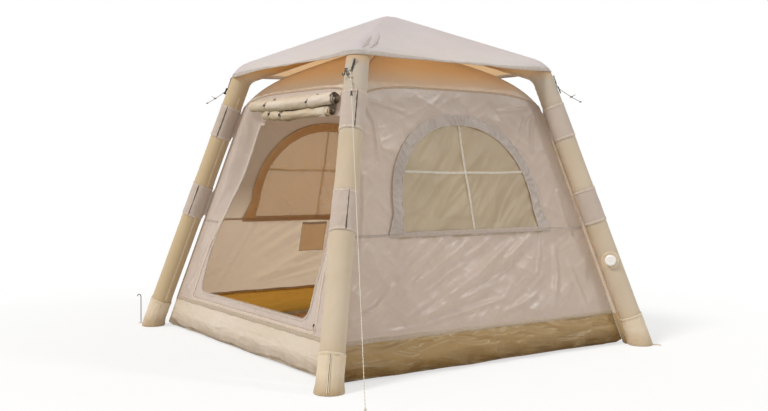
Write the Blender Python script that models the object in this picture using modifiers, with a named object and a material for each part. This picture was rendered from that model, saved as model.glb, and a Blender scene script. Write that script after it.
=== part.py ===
"""Inflatable tent: four bent air beams meet at an air hub and carry a hip canopy.

A sewn inner tent with a door wall, three arched windows and a bathtub floor hangs
inside them on wrap bands. Metres, +Z up. The origin is the middle of the floor's
underside. The door wall faces -Y and the right wall faces +X.
"""
import math

import bmesh
import bpy
from mathutils import Matrix, Vector

MM = 0.001
TURN = 2 * math.pi

# Fits
GAP = 0.3 * MM                 # left between pieces that touch
WINDOW_GAP = 0.5 * MM          # left round a window panel in its hole
OVERRUN = 20 * MM              # how far a cutter runs past what it cuts

# Air beams: leg, rounded elbow and hip beam
TUBE_RADIUS = 65 * MM
SLEEVE_WALL = 1.6 * MM
BLADDER_WALL = 1.4 * MM
FOOT_HALF = 1147 * MM          # leg axis on the ground, from the middle, along X and Y
ELBOW_HEIGHT = 1698 * MM
WIDE = FOOT_HALF / 1147        # a millimetre across that follows the tent's width
HIGH = ELBOW_HEIGHT / 1698     # a millimetre of height that follows the legs
ELBOW_HALF = 689 * WIDE
ELBOW_RADIUS = 130 * MM
ELBOW_GORES = 3
HUB_HEIGHT = 2005 * HIGH
BEAM_STOP = 110 * MM           # beam end to hub centre, along the beam
LEG_SLOPE = math.atan2(ELBOW_HEIGHT, math.hypot(FOOT_HALF - ELBOW_HALF, FOOT_HALF - ELBOW_HALF))
HIP_SLOPE = math.atan2(HUB_HEIGHT - ELBOW_HEIGHT, math.hypot(ELBOW_HALF, ELBOW_HALF))
ELBOW_REACH = ELBOW_RADIUS * math.tan((LEG_SLOPE - HIP_SLOPE) / 2)
LEG_TOP = ELBOW_HEIGHT - ELBOW_REACH * math.sin(LEG_SLOPE)   # where the legs' straight part ends
TUBE_SIDES = 24
BLADDER_SIDES = 12
BLADDER_FOOT = 12 * MM         # height of a bladder's welded end

# Air hub
SPIGOT_LENGTH = 60 * MM
SPIGOT_WALL = 2.4 * MM
HUB_LID = 50 * MM               # hub centre to its welded lid
HUB_CHAMBER = 46 * MM
HUB_BORE_START = 38 * MM
HUB_ARM_START = 21 * MM        # how far an arm runs back past the centre
HUB_BOSS_RADIUS = 32 * MM
HUB_BOSS_DROP = 72 * MM        # hub centre to the underside of its boss
HUB_TWIST = math.radians(3)    # each arm's facets are turned by this from the last one's

# Foot caps and their peg tabs
CAP_FLOOR = 4 * MM
CAP_WALL = 3 * MM
CAP_HEIGHT = 180 * MM
CAP_FLARE = 10 * MM
CAP_FLARE_HEIGHT = 70 * MM
CAP_SHIFT = 7 * MM             # how far the foot leans to the tent's middle
TAB_WIDTH = 24 * MM
TAB_THICKNESS = 3 * MM
TAB_REACH = 45 * MM
PEG_TAB_REACH = 56 * MM        # cap to the standing peg, along its tab
PEG_TAB_END = 13 * MM          # webbing beyond the peg
PEG_TAB_TURN_SHARE = 0.52
TAB_HOLE = 3.5 * MM            # radius of the hole for the peg

# Wrap bands that tie the inner tent to the legs
BAND_WALL = 3 * MM
BAND_FIN = 6 * MM
BAND_LENGTH = 222 * MM
BAND_DROP = 255.24 * MM        # leg top to the middle of the upper band
BAND_HEIGHTS = {"upper": LEG_TOP - BAND_DROP, "middle": 862 * HIGH}

# Canopy
CANOPY_CLOTH = 1.5 * MM
CANOPY_TOP_HALF = 45 * MM
CANOPY_HEM_RISE = 2 * MM       # middle of the hem over the elbow
CANOPY_FLAT = 45 * MM          # width beside a hip where the cloth lies on the tube
CANOPY_ROW_SHARES = (0.2, 0.42, 0.64, 0.84)
CANOPY_ELBOW_ROWS = 4
CANOPY_SIDE_STEPS = 6
CANOPY_CORNER_STEPS = 4

# Inner tent walls: planes that lean in
WALL_SET_IN = 77 * MM          # leg axis to wall at the ground
WALL_FOOT = FOOT_HALF - WALL_SET_IN
WALL_STEEPER_SHARE = 0.96393
WALL_LEAN_SHARE = WALL_STEEPER_SHARE * (FOOT_HALF - ELBOW_HALF) / ELBOW_HEIGHT
WALL_CLOTH = 2 * MM
WALL_BOTTOM = 200 * MM
WALL_CORNER_TOP = 1480 * HIGH
WALL_ARCH = 70 * HIGH            # rise of the wall's top seam in the middle
WALL_BILLOW = 12 * MM
DOOR_BILLOW = 4 * MM
WALL_RINGS = 3
WALL_BOTTOM_STEPS = 14
WALL_SIDE_STEPS = 9

# Bathtub floor
FLOOR_CLOTH = 2 * MM
FLOOR_TURN_IN = 30 * MM         # wall foot to where the floor turns up
FLOOR_FLAT_IN = 55 * MM
FLOOR_TURN_HALF = WALL_FOOT - FLOOR_TURN_IN
FLOOR_FLAT_HALF = FLOOR_TURN_HALF - FLOOR_FLAT_IN
FLOOR_TURN_HEIGHT = 9 * MM
SKIRT_EDGE = 30 * MM
SKIRT_WAVE = 9 * MM
SKIRT_MIDDLE = 112 * MM
SKIRT_STEPS = 16

# Inner roof
ROOF_CLOTH = 1.5 * MM
ROOF_DROP = 100 * MM           # hub centre to the inner roof's crown
ROOF_CROWN = HUB_HEIGHT - ROOF_DROP
ROOF_SHOULDER_POWER = 7
ROOF_ROW_SHARES = (0.96, 0.89, 0.78, 0.6, 0.38, 0.16)
ROOF_STEPS = 12

# Arched windows
WINDOW_BOTTOM = 735 * HIGH
WINDOW_SPRING = 850 * HIGH       # height where the arch starts
ARCH_POWER = 2.15
PANEL_BASE_HALF = 510 * WIDE
PANEL_SPRING_HALF = 489 * WIDE
PANEL_RISE = 494 * HIGH
TRIM_BASE_HALF = 600 * WIDE
TRIM_SPRING_HALF = 550 * WIDE
TRIM_RISE = 551 * HIGH
TRIM_DROP = 16 * MM            # how far the binding runs below the panel
TRIM_THICKNESS = 3 * MM
PANEL_THICKNESS = 1.2 * MM
BAR_WIDTH = 22 * MM
BAR_HEIGHT = 1072 * HIGH
ARCH_STEPS = 9

# Door
DOOR_SILL = 275 * MM
DOOR_SILL_HALF = 690 * WIDE
DOOR_CORNER = 70 * MM
DOOR_KNEE = 744 * HIGH           # below this the opening leaves the zip line
DOOR_HEAD = 1385 * HIGH
ZIP_BOTTOM = 222 * MM
ZIP_BOTTOM_HALF = 790 * WIDE
ZIP_HEAD_HALF = 569 * WIDE
ZIP_TAPE = 20 * MM
ZIP_THICKNESS = 1.4 * MM
SLIDER_LENGTH = 16 * MM
SLIDER_WIDTH = 10 * MM
SLIDER_THICKNESS = 4 * MM
SLIDER_START = 262 * MM
PULL_LENGTH = 34 * MM
PULL_WIDTH = 6 * MM
PULL_THICKNESS = 1.6 * MM

# Rolled door and rolled mesh door, hung from the header seam
HEADER = 1522 * HIGH
ROLL_LEFT = -545 * WIDE
ROLL_RIGHT = 505 * WIDE
ROLL_RADIUS = 34 * MM
ROLL_PITCH = 11 * MM
ROLL_CLOTH = 7 * MM
ROLL_TURNS = 2
ROLL_DROP = 58 * MM            # header to the roll's middle
ROLL_SAG = 9 * MM
ROLL_TAIL = 2 * MM
MESH_LEFT = -300 * WIDE
MESH_RIGHT = 480 * WIDE
MESH_RADIUS = 20 * MM
MESH_PITCH = 8 * MM
MESH_CLOTH = 5 * MM
MESH_TURNS = 1.5
MESH_DROP = 122 * MM
MESH_SAG = 12 * MM
MESH_TAIL = 1.5 * MM
ROLL_TURN_STEPS = 14
PINCH_SHARE = 0.9
STRAP_WIDTH = 22 * MM
STRAP_THICKNESS = 1.6 * MM
STRAP_PLACES = {"left": -270 * WIDE, "right": 250 * WIDE}

# Pocket on the left wall's inside
POCKET_LEFT = -117 * WIDE
POCKET_RIGHT = 88 * WIDE
POCKET_TOP = 690 * HIGH
POCKET_DEPTH = 215 * MM
POCKET_THICKNESS = 12 * MM
POCKET_ROUND = 5 * MM
POCKET_BILLOW_SHARE = 0.36     # of the wall's billow that lies behind the pocket

# Air valve on the back right leg
VALVE_HEIGHT = 530 * HIGH
VALVE_SEAT = 71 * MM           # outer face of the saddle, from the leg's axis
VALVE_INNER = 50 * MM
VALVE_FLANGE = 33 * MM
VALVE_NECK = 16 * MM
VALVE_BORE = 12 * MM
VALVE_NECK_END = 80 * MM
BLADDER_HOLE = 21 * MM         # the bladder's film is welded round the neck inside this radius
VALVE_WEB = 60 * MM
VALVE_WEB_THICKNESS = 3 * MM
VALVE_PORT = 3 * MM
VALVE_PORT_CIRCLE = 7.6 * MM
PLUNGER_DISC = 15 * MM
PLUNGER_DISC_THICKNESS = 3 * MM
PLUNGER_STEM = 3 * MM
PLUNGER_HEAD = 6 * MM
PLUNGER_HEAD_START = 74 * MM
PLUNGER_HEAD_THICKNESS = 3 * MM
SPRING_RADIUS = 4.7 * MM
SPRING_WIRE = 0.6 * MM
SPRING_TURNS = 4
CAP_RADIUS = 35 * MM
CAP_RIM = 84 * MM
CAP_END = 91 * MM
CAP_CROWN_HALF = 27 * MM
CAP_HOLLOW = 82 * MM
GRIP_COUNT = 18
GRIP_RADIUS = 3 * MM
ROUND_STEPS = 28

# Corner hooks, guy line and pegs
ELASTIC_RADIUS = 2.5 * MM
ELASTIC_DROP = 1.64 * MM       # leg top to where the elastic leaves the canopy
HOOK_DROP = 47.24 * MM          # leg top to the hook's middle
ELASTIC_START = LEG_TOP - ELASTIC_DROP
HOOK_HEIGHT = LEG_TOP - HOOK_DROP
HOOK_LENGTH = 34 * MM
HOOK_WIDTH = 13 * MM
HOOK_THICKNESS = 5 * MM
HOOK_ROUND = 2 * MM
HOOK_TURNS_DEG = {"front_right": 14, "back_right": 4, "back_left": 0, "front_left": -4}
CORD_RADIUS = 2 * MM
CORD_SEAT = 0.3 * MM
GUY_PEG_OUT = 34 * MM          # height of the cord's end
GUY_PEG = Vector((1700 * WIDE, -1305 * WIDE, GUY_PEG_OUT))
GUY_STEPS = 4
RUNNER_START = 130 * MM
RUNNER_LENGTH = 26 * MM
RUNNER_RADIUS = 6.5 * MM
RUNNER_WAIST = 5 * MM
STUB_LENGTH = 165 * MM
STUB_FALL_DEG = 32
STUB_STEPS = 5
STUB_SAG = 4 * MM
KNOT_RADIUS = 5 * MM
PEG_RADIUS = 3 * MM
PEG_LENGTH = 200 * MM
PEG_HOOK = 13 * MM
PEG_HOOK_STEPS = 6
PEG_HOOK_DEG = 220
GUY_PEG_LENGTH = 170 * MM
GUY_PEG_SLOPE_DEG = 8.4

CORNERS = {"front_right": (1, -1), "back_right": (1, 1), "back_left": (-1, 1), "front_left": (-1, -1)}
SIDES = {"door": (0, -1), "right": (1, 0), "back": (0, 1), "left": (-1, 0)}
UP = Vector((0, 0, 1))
ROOT_TWO = math.sqrt(2)


# Scene, materials and cutters

def clear_scene():
    for ob in list(bpy.data.objects):
        bpy.data.objects.remove(ob, do_unlink=True)


def new_collection(name):
    group = bpy.data.collections.new(name)
    bpy.context.scene.collection.children.link(group)
    return group


def material(name, colour, roughness, metallic=0.0):
    made = bpy.data.materials.new(name)
    made.use_nodes = True
    shader = made.node_tree.nodes["Principled BSDF"]
    shader.inputs["Base Color"].default_value = (*colour, 1.0)
    shader.inputs["Roughness"].default_value = roughness
    shader.inputs["Metallic"].default_value = metallic
    made.diffuse_color = (*colour, 1.0)
    return made


def place(ob, finish, matrix=None):
    """Puts the object in the part's collection, or a cutter in the cutters' one."""
    if finish is None:
        CUTTERS.objects.link(ob)
        ob.hide_render = True
        ob.display_type = "WIRE"
    else:
        PART.objects.link(ob)
        ob.data.materials.clear()
        ob.data.materials.append(finish)
    if matrix is not None:
        ob.matrix_world = matrix
    return ob


def mesh_object(name, bm, finish, matrix=None):
    mesh = bpy.data.meshes.new(name)
    bm.to_mesh(mesh)
    bm.free()
    return place(bpy.data.objects.new(name, mesh), finish, matrix)


def solid_from_curve(curve_object, finish):
    """A curve made a mesh with its caps welded on, so that it can be cut or joined."""
    bpy.context.view_layer.update()
    graph = bpy.context.evaluated_depsgraph_get()
    mesh = bpy.data.meshes.new_from_object(curve_object.evaluated_get(graph))
    bm = bmesh.new()
    bm.from_mesh(mesh)
    bmesh.ops.remove_doubles(bm, verts=bm.verts, dist=GAP / 30)
    bm.to_mesh(mesh)
    bm.free()
    name = curve_object.name
    matrix = curve_object.matrix_world.copy()
    bpy.data.objects.remove(curve_object, do_unlink=True)
    return place(bpy.data.objects.new(name, mesh), finish, matrix)


def boolean(ob, other, operation):
    step = ob.modifiers.new(operation.lower(), "BOOLEAN")
    step.operation = operation
    step.object = other
    step.solver = "EXACT"


def cut(ob, other):
    boolean(ob, other, "DIFFERENCE")


def join(ob, other):
    boolean(ob, other, "UNION")


def solidify(ob, thickness):
    step = ob.modifiers.new("cloth", "SOLIDIFY")
    step.thickness = thickness
    step.offset = -1
    step.use_even_offset = True


def round_shading(ob):
    ob.data.shade_smooth()
    ob.data.set_sharp_from_angle(angle=math.radians(35))


def frame_matrix(x_axis, y_axis, z_axis, origin):
    turned = Matrix((x_axis, y_axis, z_axis)).transposed().to_4x4()
    turned.translation = origin
    return turned


# Sheets, lofts and turned pieces

def bridge(bm, rows, closed=True):
    """Quads between neighbouring rows of vertices."""
    for upper, lower in zip(rows, rows[1:]):
        count = len(upper)
        for i in range(count if closed else count - 1):
            j = (i + 1) % count
            bm.faces.new((upper[i], upper[j], lower[j], lower[i]))


def face_outward(bm, middle):
    """Turns an open sheet's faces away from a point inside it."""
    bm.normal_update()
    spread = sum(f.normal.dot(f.calc_center_median() - middle) * f.calc_area() for f in bm.faces)
    if spread < 0:
        bmesh.ops.reverse_faces(bm, faces=bm.faces)


def sheet_object(name, rows, cap, thickness, finish):
    """Cloth through closed rows of points, with the last row filled when it is a cap."""
    bm = bmesh.new()
    made = [[bm.verts.new(point) for point in row] for row in rows]
    bridge(bm, made)
    if cap:
        bm.faces.new(made[-1])
    face_outward(bm, Vector((0, 0, ELBOW_HEIGHT / 2)))
    ob = mesh_object(name, bm, finish)
    solidify(ob, thickness)
    return ob


def tube_ring(station, tangent, sides):
    """One section of a round tube where its end or mitre plane crosses it."""
    point, axis, normal, radius = station
    beside = axis.cross(tangent)
    ring = []
    for i in range(sides):
        angle = TURN * i / sides
        offset = (tangent * math.cos(angle) + beside * math.sin(angle)) * radius
        slide = offset.dot(normal) / axis.dot(normal)
        ring.append(point + offset - axis * slide)
    return ring


def stations(path, radius, first=None, last=None):
    """A station at each point of a mitred path: point, tube direction, plane and radius."""
    ways = [(b - a).normalized() for a, b in zip(path, path[1:])]
    found = [(path[0], ways[0], first or ways[0], radius)]
    for i in range(1, len(path) - 1):
        found.append((path[i], ways[i - 1], (ways[i - 1] + ways[i]).normalized(), radius))
    found.append((path[-1], ways[-1], last or ways[-1], radius))
    return found


def tube_object(name, outer, inner, tangent, sides, finish, closed_start=False):
    """A tube lofted through mitre sections: solid, open at both ends or closed at its start."""
    bm = bmesh.new()
    skin = [[bm.verts.new(p) for p in tube_ring(s, tangent, sides)] for s in outer]
    bridge(bm, skin)
    if inner is None:
        bm.faces.new(skin[0])
        bm.faces.new(skin[-1])
    else:
        bore = [[bm.verts.new(p) for p in tube_ring(s, tangent, sides)] for s in inner]
        bridge(bm, bore)
        bridge(bm, [skin[-1], bore[-1]])
        if closed_start:
            bm.faces.new(skin[0])
            bm.faces.new(bore[0])
        else:
            bridge(bm, [skin[0], bore[0]])
    bmesh.ops.recalc_face_normals(bm, faces=bm.faces)
    ob = mesh_object(name, bm, finish)
    round_shading(ob)
    return ob


def flat_object(name, outlines, thickness, finish, matrix):
    """A plate from outlines in its own plane; outlines after the first are holes."""
    curve = bpy.data.curves.new(name, "CURVE")
    curve.dimensions = "2D"
    curve.fill_mode = "BOTH"
    curve.extrude = thickness / 2
    for outline in outlines:
        spline = curve.splines.new("POLY")
        spline.points.add(len(outline) - 1)
        for point, (x, y) in zip(spline.points, outline):
            point.co = (x, y, 0, 1)
        spline.use_cyclic_u = True
    return place(bpy.data.objects.new(name, curve), finish, matrix)


def rod_object(name, points, radius, finish, resolution=2):
    """A round rod or cord along points."""
    curve = bpy.data.curves.new(name, "CURVE")
    curve.dimensions = "3D"
    curve.bevel_depth = radius
    curve.bevel_resolution = resolution
    curve.use_fill_caps = True
    spline = curve.splines.new("POLY")
    spline.points.add(len(points) - 1)
    for point, place_at in zip(spline.points, points):
        point.co = (*place_at, 1)
    return place(bpy.data.objects.new(name, curve), finish)


def turned_object(name, profile, finish, matrix, steps=ROUND_STEPS):
    """A profile of (radius, height) turned about the local Z axis, closed on itself or the axis."""
    bm = bmesh.new()
    corners = [bm.verts.new((radius, 0, height)) for radius, height in profile]
    on_axis = profile[0][0] == 0 and profile[-1][0] == 0
    pairs = list(zip(corners, corners[1:]))
    if not on_axis:
        pairs.append((corners[-1], corners[0]))
    for a, b in pairs:
        bm.edges.new((a, b))
    ob = mesh_object(name, bm, finish, matrix)
    screw = ob.modifiers.new("turn", "SCREW")
    screw.axis = "Z"
    screw.steps = steps
    screw.render_steps = steps
    screw.use_merge_vertices = True
    screw.merge_threshold = GAP / 30
    return ob


def box_object(name, size, centre, finish, matrix=None):
    bm = bmesh.new()
    bmesh.ops.create_cube(bm, size=1)
    bmesh.ops.scale(bm, vec=size, verts=bm.verts)
    bmesh.ops.translate(bm, vec=centre, verts=bm.verts)
    return mesh_object(name, bm, finish, matrix)


def bevel(ob, width, segments=2):
    step = ob.modifiers.new("rounding", "BEVEL")
    step.width = width
    step.segments = segments


def resample(path, count):
    """Evenly spaced points along an open path of (u, z), without its last point."""
    lengths = [0]
    for (u0, z0), (u1, z1) in zip(path, path[1:]):
        lengths.append(lengths[-1] + math.hypot(u1 - u0, z1 - z0))
    found = []
    for i in range(count):
        target = lengths[-1] * i / count
        k = max(j for j in range(len(path) - 1) if lengths[j] <= target)
        share = (target - lengths[k]) / (lengths[k + 1] - lengths[k])
        found.append((path[k][0] + (path[k + 1][0] - path[k][0]) * share,
                      path[k][1] + (path[k + 1][1] - path[k][1]) * share))
    return found


def mirrored(path):
    return [(-u, z) for u, z in reversed(path)]


# Air beam geometry

def outward(corner):
    sx, sy = CORNERS[corner]
    return Vector((sx, sy, 0)) / ROOT_TWO


def tangent_of(corner):
    """Level direction square to the corner's upright diagonal plane."""
    sx, sy = CORNERS[corner]
    return Vector((sy, -sx, 0)) / ROOT_TWO


def beam_points(corner):
    """Foot, the elbow's gore points and the hub end of one air beam's axis."""
    out = outward(corner)
    foot = out * FOOT_HALF * ROOT_TWO
    elbow = out * ELBOW_HALF * ROOT_TWO + UP * ELBOW_HEIGHT
    hub = UP * HUB_HEIGHT
    rise = (elbow - foot).normalized()
    run = (hub - elbow).normalized()
    turn = rise.angle(run)
    reach = ELBOW_RADIUS * math.tan(turn / 2)
    start = elbow - rise * reach
    centre = start + (run - rise * run.dot(rise)).normalized() * ELBOW_RADIUS
    arm = start - centre
    spin = rise.cross(run).normalized()
    arc = [centre + Matrix.Rotation(turn * i / ELBOW_GORES, 3, spin) @ arm for i in range(ELBOW_GORES + 1)]
    return foot, rise, arc, run, hub - run * BEAM_STOP


def leg_at(corner, height):
    """Point of the leg's axis at a height."""
    foot, rise, arc, run, end = beam_points(corner)
    return foot + rise * (height / rise.z)


def leg_frame(corner, height):
    """Level tangent, outward and axis directions at the leg, with the point on its axis."""
    foot, rise, arc, run, end = beam_points(corner)
    tangent = tangent_of(corner)
    return frame_matrix(tangent, rise.cross(tangent), rise, leg_at(corner, height))


def make_foot_cap(corner):
    foot, rise, arc, run, end = beam_points(corner)
    tangent = tangent_of(corner)
    bore = TUBE_RADIUS + GAP
    skin = bore + CAP_WALL
    inward = outward(corner) * -CAP_SHIFT
    outer = [(foot + inward, rise, UP, skin + CAP_FLARE),
             (leg_at(corner, CAP_FLARE_HEIGHT), rise, rise, skin),
             (leg_at(corner, CAP_HEIGHT), rise, rise, skin)]
    inner = [(leg_at(corner, CAP_FLOOR), rise, UP, bore),
             (leg_at(corner, CAP_HEIGHT), rise, rise, bore)]
    cap = tube_object("foot_cap_" + corner, outer, inner, tangent, TUBE_SIDES, CREAM, closed_start=True)
    join(cap, make_peg_tab(corner))


def peg_way(corner):
    """Level direction of the cap's peg tab, and how far it reaches from the cap."""
    if corner == "front_left":
        turned = Vector((-1, 0, 0)) + outward(corner) * PEG_TAB_TURN_SHARE
        return turned.normalized(), PEG_TAB_REACH + PEG_TAB_END
    if corner == "front_right":
        return -outward(corner), TAB_REACH / 2
    return outward(corner), TAB_REACH


def cap_edge():
    """Radius of a foot cap's lower edge on its outer side, from the leg's axis."""
    return TUBE_RADIUS + CAP_WALL + CAP_FLARE - CAP_SHIFT


def make_peg_tab(corner):
    """The sewn webbing tab on a foot cap that a ground peg goes through."""
    way, reach = peg_way(corner)
    foot = beam_points(corner)[0]
    length = cap_edge() + reach
    start = TUBE_RADIUS
    half = TAB_WIDTH / 2
    outline = [(start, -half), (length - half, -half), (length, -half / 2), (length, half / 2),
               (length - half, half), (start, half)]
    matrix = frame_matrix(way, UP.cross(way), UP, foot + UP * (GAP + TAB_THICKNESS / 2))
    outlines = [outline]
    if corner == "front_left":
        hole = []
        for i in range(ROUND_STEPS // 2):
            angle = TURN * i / (ROUND_STEPS // 2)
            hole.append((length - PEG_TAB_END + TAB_HOLE * math.cos(angle), TAB_HOLE * math.sin(angle)))
        outlines.append(hole)
    tab = flat_object("peg_tab_" + corner, outlines, TAB_THICKNESS, None, matrix)
    return solid_from_curve(tab, None)


def make_sleeves(corner):
    """The leg's sleeve, and the sleeve of the elbow and hip beam."""
    foot, rise, arc, run, end = beam_points(corner)
    tangent = tangent_of(corner)
    inner_radius = TUBE_RADIUS - SLEEVE_WALL
    first_gore = (arc[1] - arc[0]).normalized()
    mitre = (rise + first_gore).normalized()
    bottom = leg_at(corner, CAP_FLOOR + GAP)
    leg_path = [bottom, arc[0]]
    leg = tube_object("leg_sleeve_" + corner, stations(leg_path, TUBE_RADIUS, UP, mitre),
                      stations(leg_path, inner_radius, UP, mitre), tangent, TUBE_SIDES, CREAM)
    beam_path = [arc[0] + mitre * GAP] + arc[1:] + [end]
    tube_object("beam_sleeve_" + corner, stations(beam_path, TUBE_RADIUS, mitre),
                stations(beam_path, inner_radius, mitre), tangent, TUBE_SIDES, CREAM)
    return leg


def bladder_radius():
    return TUBE_RADIUS - SLEEVE_WALL - GAP


def make_bladder(corner):
    """The welded air tube inside both sleeves, closed at the foot and open at the hub."""
    foot, rise, arc, run, end = beam_points(corner)
    radius = bladder_radius()
    outer_path = [leg_at(corner, BLADDER_FOOT)] + arc + [end]
    inner_path = [leg_at(corner, BLADDER_FOOT + BLADDER_WALL)] + arc + [end]
    return tube_object("bladder_" + corner, stations(outer_path, radius, UP),
                       stations(inner_path, radius - BLADDER_WALL, UP), tangent_of(corner),
                       BLADDER_SIDES, BLADDER, closed_start=True)


def make_air_hub():
    """The four-way air hub: spigots in the beam ends round one chamber."""
    centre = UP * HUB_HEIGHT
    body_radius = bladder_radius()
    spigot = (body_radius - BLADDER_WALL) * math.cos(math.pi / BLADDER_SIDES) - GAP
    bore = spigot - SPIGOT_WALL
    shoulder = BEAM_STOP - GAP
    hub = None
    bores = []
    for i, corner in enumerate(CORNERS):
        way = -beam_points(corner)[3]
        across = Matrix.Rotation(HUB_TWIST * i, 3, way) @ tangent_of(corner)
        outer = [(centre - way * HUB_ARM_START, way, way, body_radius),
                 (centre + way * shoulder, way, way, body_radius),
                 (centre + way * shoulder, way, way, spigot),
                 (centre + way * (shoulder + SPIGOT_LENGTH), way, way, spigot)]
        if hub is None:
            hub = tube_object("air_hub", outer, None, across, TUBE_SIDES, BLADDER)
        else:
            join(hub, tube_object("hub_arm_" + corner, outer, None, across, TUBE_SIDES, None))
        air = [(centre + way * HUB_BORE_START, way, way, bore),
               (centre + way * (shoulder + SPIGOT_LENGTH + OVERRUN), way, way, bore)]
        bores.append(tube_object("hub_bore_" + corner, air, None, across, TUBE_SIDES, None))
    boss = [(0, HUB_LID + OVERRUN), (HUB_BOSS_RADIUS, HUB_LID + OVERRUN),
            (HUB_BOSS_RADIUS, -HUB_BOSS_DROP), (0, -HUB_BOSS_DROP)]
    spun = Matrix.Translation(centre) @ Matrix.Rotation(HUB_TWIST / 2, 4, "Z")
    join(hub, turned_object("hub_boss", boss, None, spun))
    lid = box_object("hub_lid_cutter", (FOOT_HALF, FOOT_HALF, TUBE_RADIUS),
                     UP * (HUB_HEIGHT + HUB_LID + TUBE_RADIUS / 2), None)
    cut(hub, lid)
    for one in bores:
        cut(hub, one)
    bm = bmesh.new()
    bmesh.ops.create_uvsphere(bm, u_segments=TUBE_SIDES, v_segments=TUBE_SIDES // 2, radius=HUB_CHAMBER)
    cut(hub, mesh_object("hub_chamber", bm, None, spun))


# Canopy

def rounded_square(half, corner_radius, side_steps, corner_steps):
    """Points round a level square with rounded corners, with how far each is along its side."""
    straight = half - corner_radius
    found = []
    for quarter in range(4):
        turn = Matrix.Rotation(TURN * quarter / 4, 3, "Z")
        for i in range(side_steps):
            share = 2 * i / side_steps - 1
            found.append((turn @ Vector((half, straight * share, 0)), straight * (1 - abs(share))))
        for i in range(corner_steps):
            angle = TURN / 4 * i / corner_steps
            arm = Vector((math.cos(angle), math.sin(angle), 0)) * corner_radius
            found.append((turn @ (Vector((straight, straight, 0)) + arm), 0))
    return found


def canopy_rows():
    """Rows of the canopy's outer face as half width, corner radius and corner height."""
    foot, rise, arc, run, end = beam_points("back_right")
    radius = TUBE_RADIUS + 2 * GAP + CANOPY_CLOTH
    slope = (HUB_HEIGHT - ELBOW_HEIGHT) / ELBOW_HALF
    tilt = math.atan(slope / ROOT_TWO)
    crown = HUB_HEIGHT + radius * math.hypot(slope / ROOT_TWO, 1 / math.cos(tilt))
    elbow = outward("back_right") * ELBOW_HALF * ROOT_TWO + UP * ELBOW_HEIGHT
    turn = rise.angle(run)
    lean = math.atan2(rise.z, math.hypot(rise.x, rise.y))
    last_arc = arc[-1]
    centre_out = last_arc.dot(outward("back_right")) - ELBOW_RADIUS * math.sin(tilt)
    centre_up = last_arc.z - ELBOW_RADIUS * math.cos(tilt)
    hip_radius = radius * math.sin(tilt)
    shoulder_half = (centre_out + (ELBOW_RADIUS + radius) * math.sin(tilt)) / ROOT_TWO
    rows = [(CANOPY_TOP_HALF, hip_radius, crown - slope * CANOPY_TOP_HALF)]
    for share in CANOPY_ROW_SHARES:
        half = shoulder_half * share
        rows.append((half, hip_radius, crown - slope * half))
    bulge = (ELBOW_RADIUS + radius) / math.cos(turn / ELBOW_GORES / 2)
    for i in range(CANOPY_ELBOW_ROWS + 1):
        angle = tilt + (lean - tilt) * i / CANOPY_ELBOW_ROWS
        corner_radius = radius * math.sin(angle)
        tip = (centre_out + bulge * math.sin(angle)) / ROOT_TWO
        half = tip + corner_radius * (1 - 1 / ROOT_TWO)
        rows.append((half, corner_radius, centre_up + bulge * math.cos(angle)))
    return rows, crown


def make_canopy():
    rows, crown = canopy_rows()
    hem_half = rows[-1][0]
    points = []
    for half, corner_radius, corner_height in rows:
        middle_height = crown + (ELBOW_HEIGHT + CANOPY_HEM_RISE - crown) * half / hem_half
        row = []
        for point, along in rounded_square(half, corner_radius, CANOPY_SIDE_STEPS, CANOPY_CORNER_STEPS):
            share = max(0, (along - CANOPY_FLAT) / max(half - CANOPY_FLAT, CANOPY_FLAT))
            blend = share * (2 - share)
            row.append(point + UP * (corner_height + (middle_height - corner_height) * blend))
        points.append(row)
    sheet_object("canopy", list(reversed(points)), True, CANOPY_CLOTH, CANOPY)


# Inner tent

def wall_half(height):
    """Distance of the inner tent's walls from its middle at a height."""
    return WALL_FOOT - WALL_LEAN_SHARE * height


def wall_frame(side, height=0.0, out=0.0):
    """Axes of a wall: along it, up its slope and out of it, from its middle at a height."""
    level = Vector((*SIDES[side], 0))
    up_slope = (UP - level * WALL_LEAN_SHARE).normalized()
    normal = (level + UP * WALL_LEAN_SHARE).normalized()
    origin = level * wall_half(height) + UP * height + normal * out
    return frame_matrix(up_slope.cross(normal), up_slope, normal, origin)


def wall_point(side, u, height, out=0.0):
    return wall_frame(side, height, out) @ Vector((u, 0, 0))


def slope_length(rise):
    """Length up a wall's slope for a rise in height."""
    return rise * math.hypot(1, WALL_LEAN_SHARE)


def seam_height(u):
    """Height of the seam between wall and inner roof."""
    return WALL_CORNER_TOP + WALL_ARCH * (1 - (u / wall_half(WALL_CORNER_TOP)) ** 2)


def wall_outline(inset):
    """Bottom, right, top and left edges of a wall's cloth, as evenly spaced points."""
    low = wall_half(WALL_BOTTOM) - inset
    top = wall_half(WALL_CORNER_TOP) - inset
    low_z = WALL_BOTTOM + 2 * GAP
    nodes = [wall_half(WALL_CORNER_TOP) * (1 - 2 * i / ROOF_STEPS) for i in range(ROOF_STEPS)]
    share = inset / (nodes[0] - nodes[1])
    top_z = seam_height(nodes[0]) * (1 - share) + seam_height(nodes[1]) * share - GAP
    arch = [(top, top_z)] + [(u, seam_height(u) - GAP) for u in nodes[1:]]
    return (resample([(-low, low_z), (low, low_z)], WALL_BOTTOM_STEPS)
            + resample([(low, low_z), (top, top_z)], WALL_SIDE_STEPS)
            + arch
            + resample([(-top, top_z), (-low, low_z)], WALL_SIDE_STEPS))


def arch_half(height, base_half, spring_half, rise):
    """Half width of an arched window at a height."""
    if height <= WINDOW_SPRING:
        share = (height - WINDOW_BOTTOM) / (WINDOW_SPRING - WINDOW_BOTTOM)
        return base_half + (spring_half - base_half) * share
    share = min(1.0, (height - WINDOW_SPRING) / rise)
    return spring_half * (1 - share ** ARCH_POWER) ** (1 / ARCH_POWER)


def arch_height(u, spring_half, rise):
    """Height of the arch over a place u beside its middle."""
    return WINDOW_SPRING + rise * (1 - (u / spring_half) ** ARCH_POWER) ** (1 / ARCH_POWER)


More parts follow.
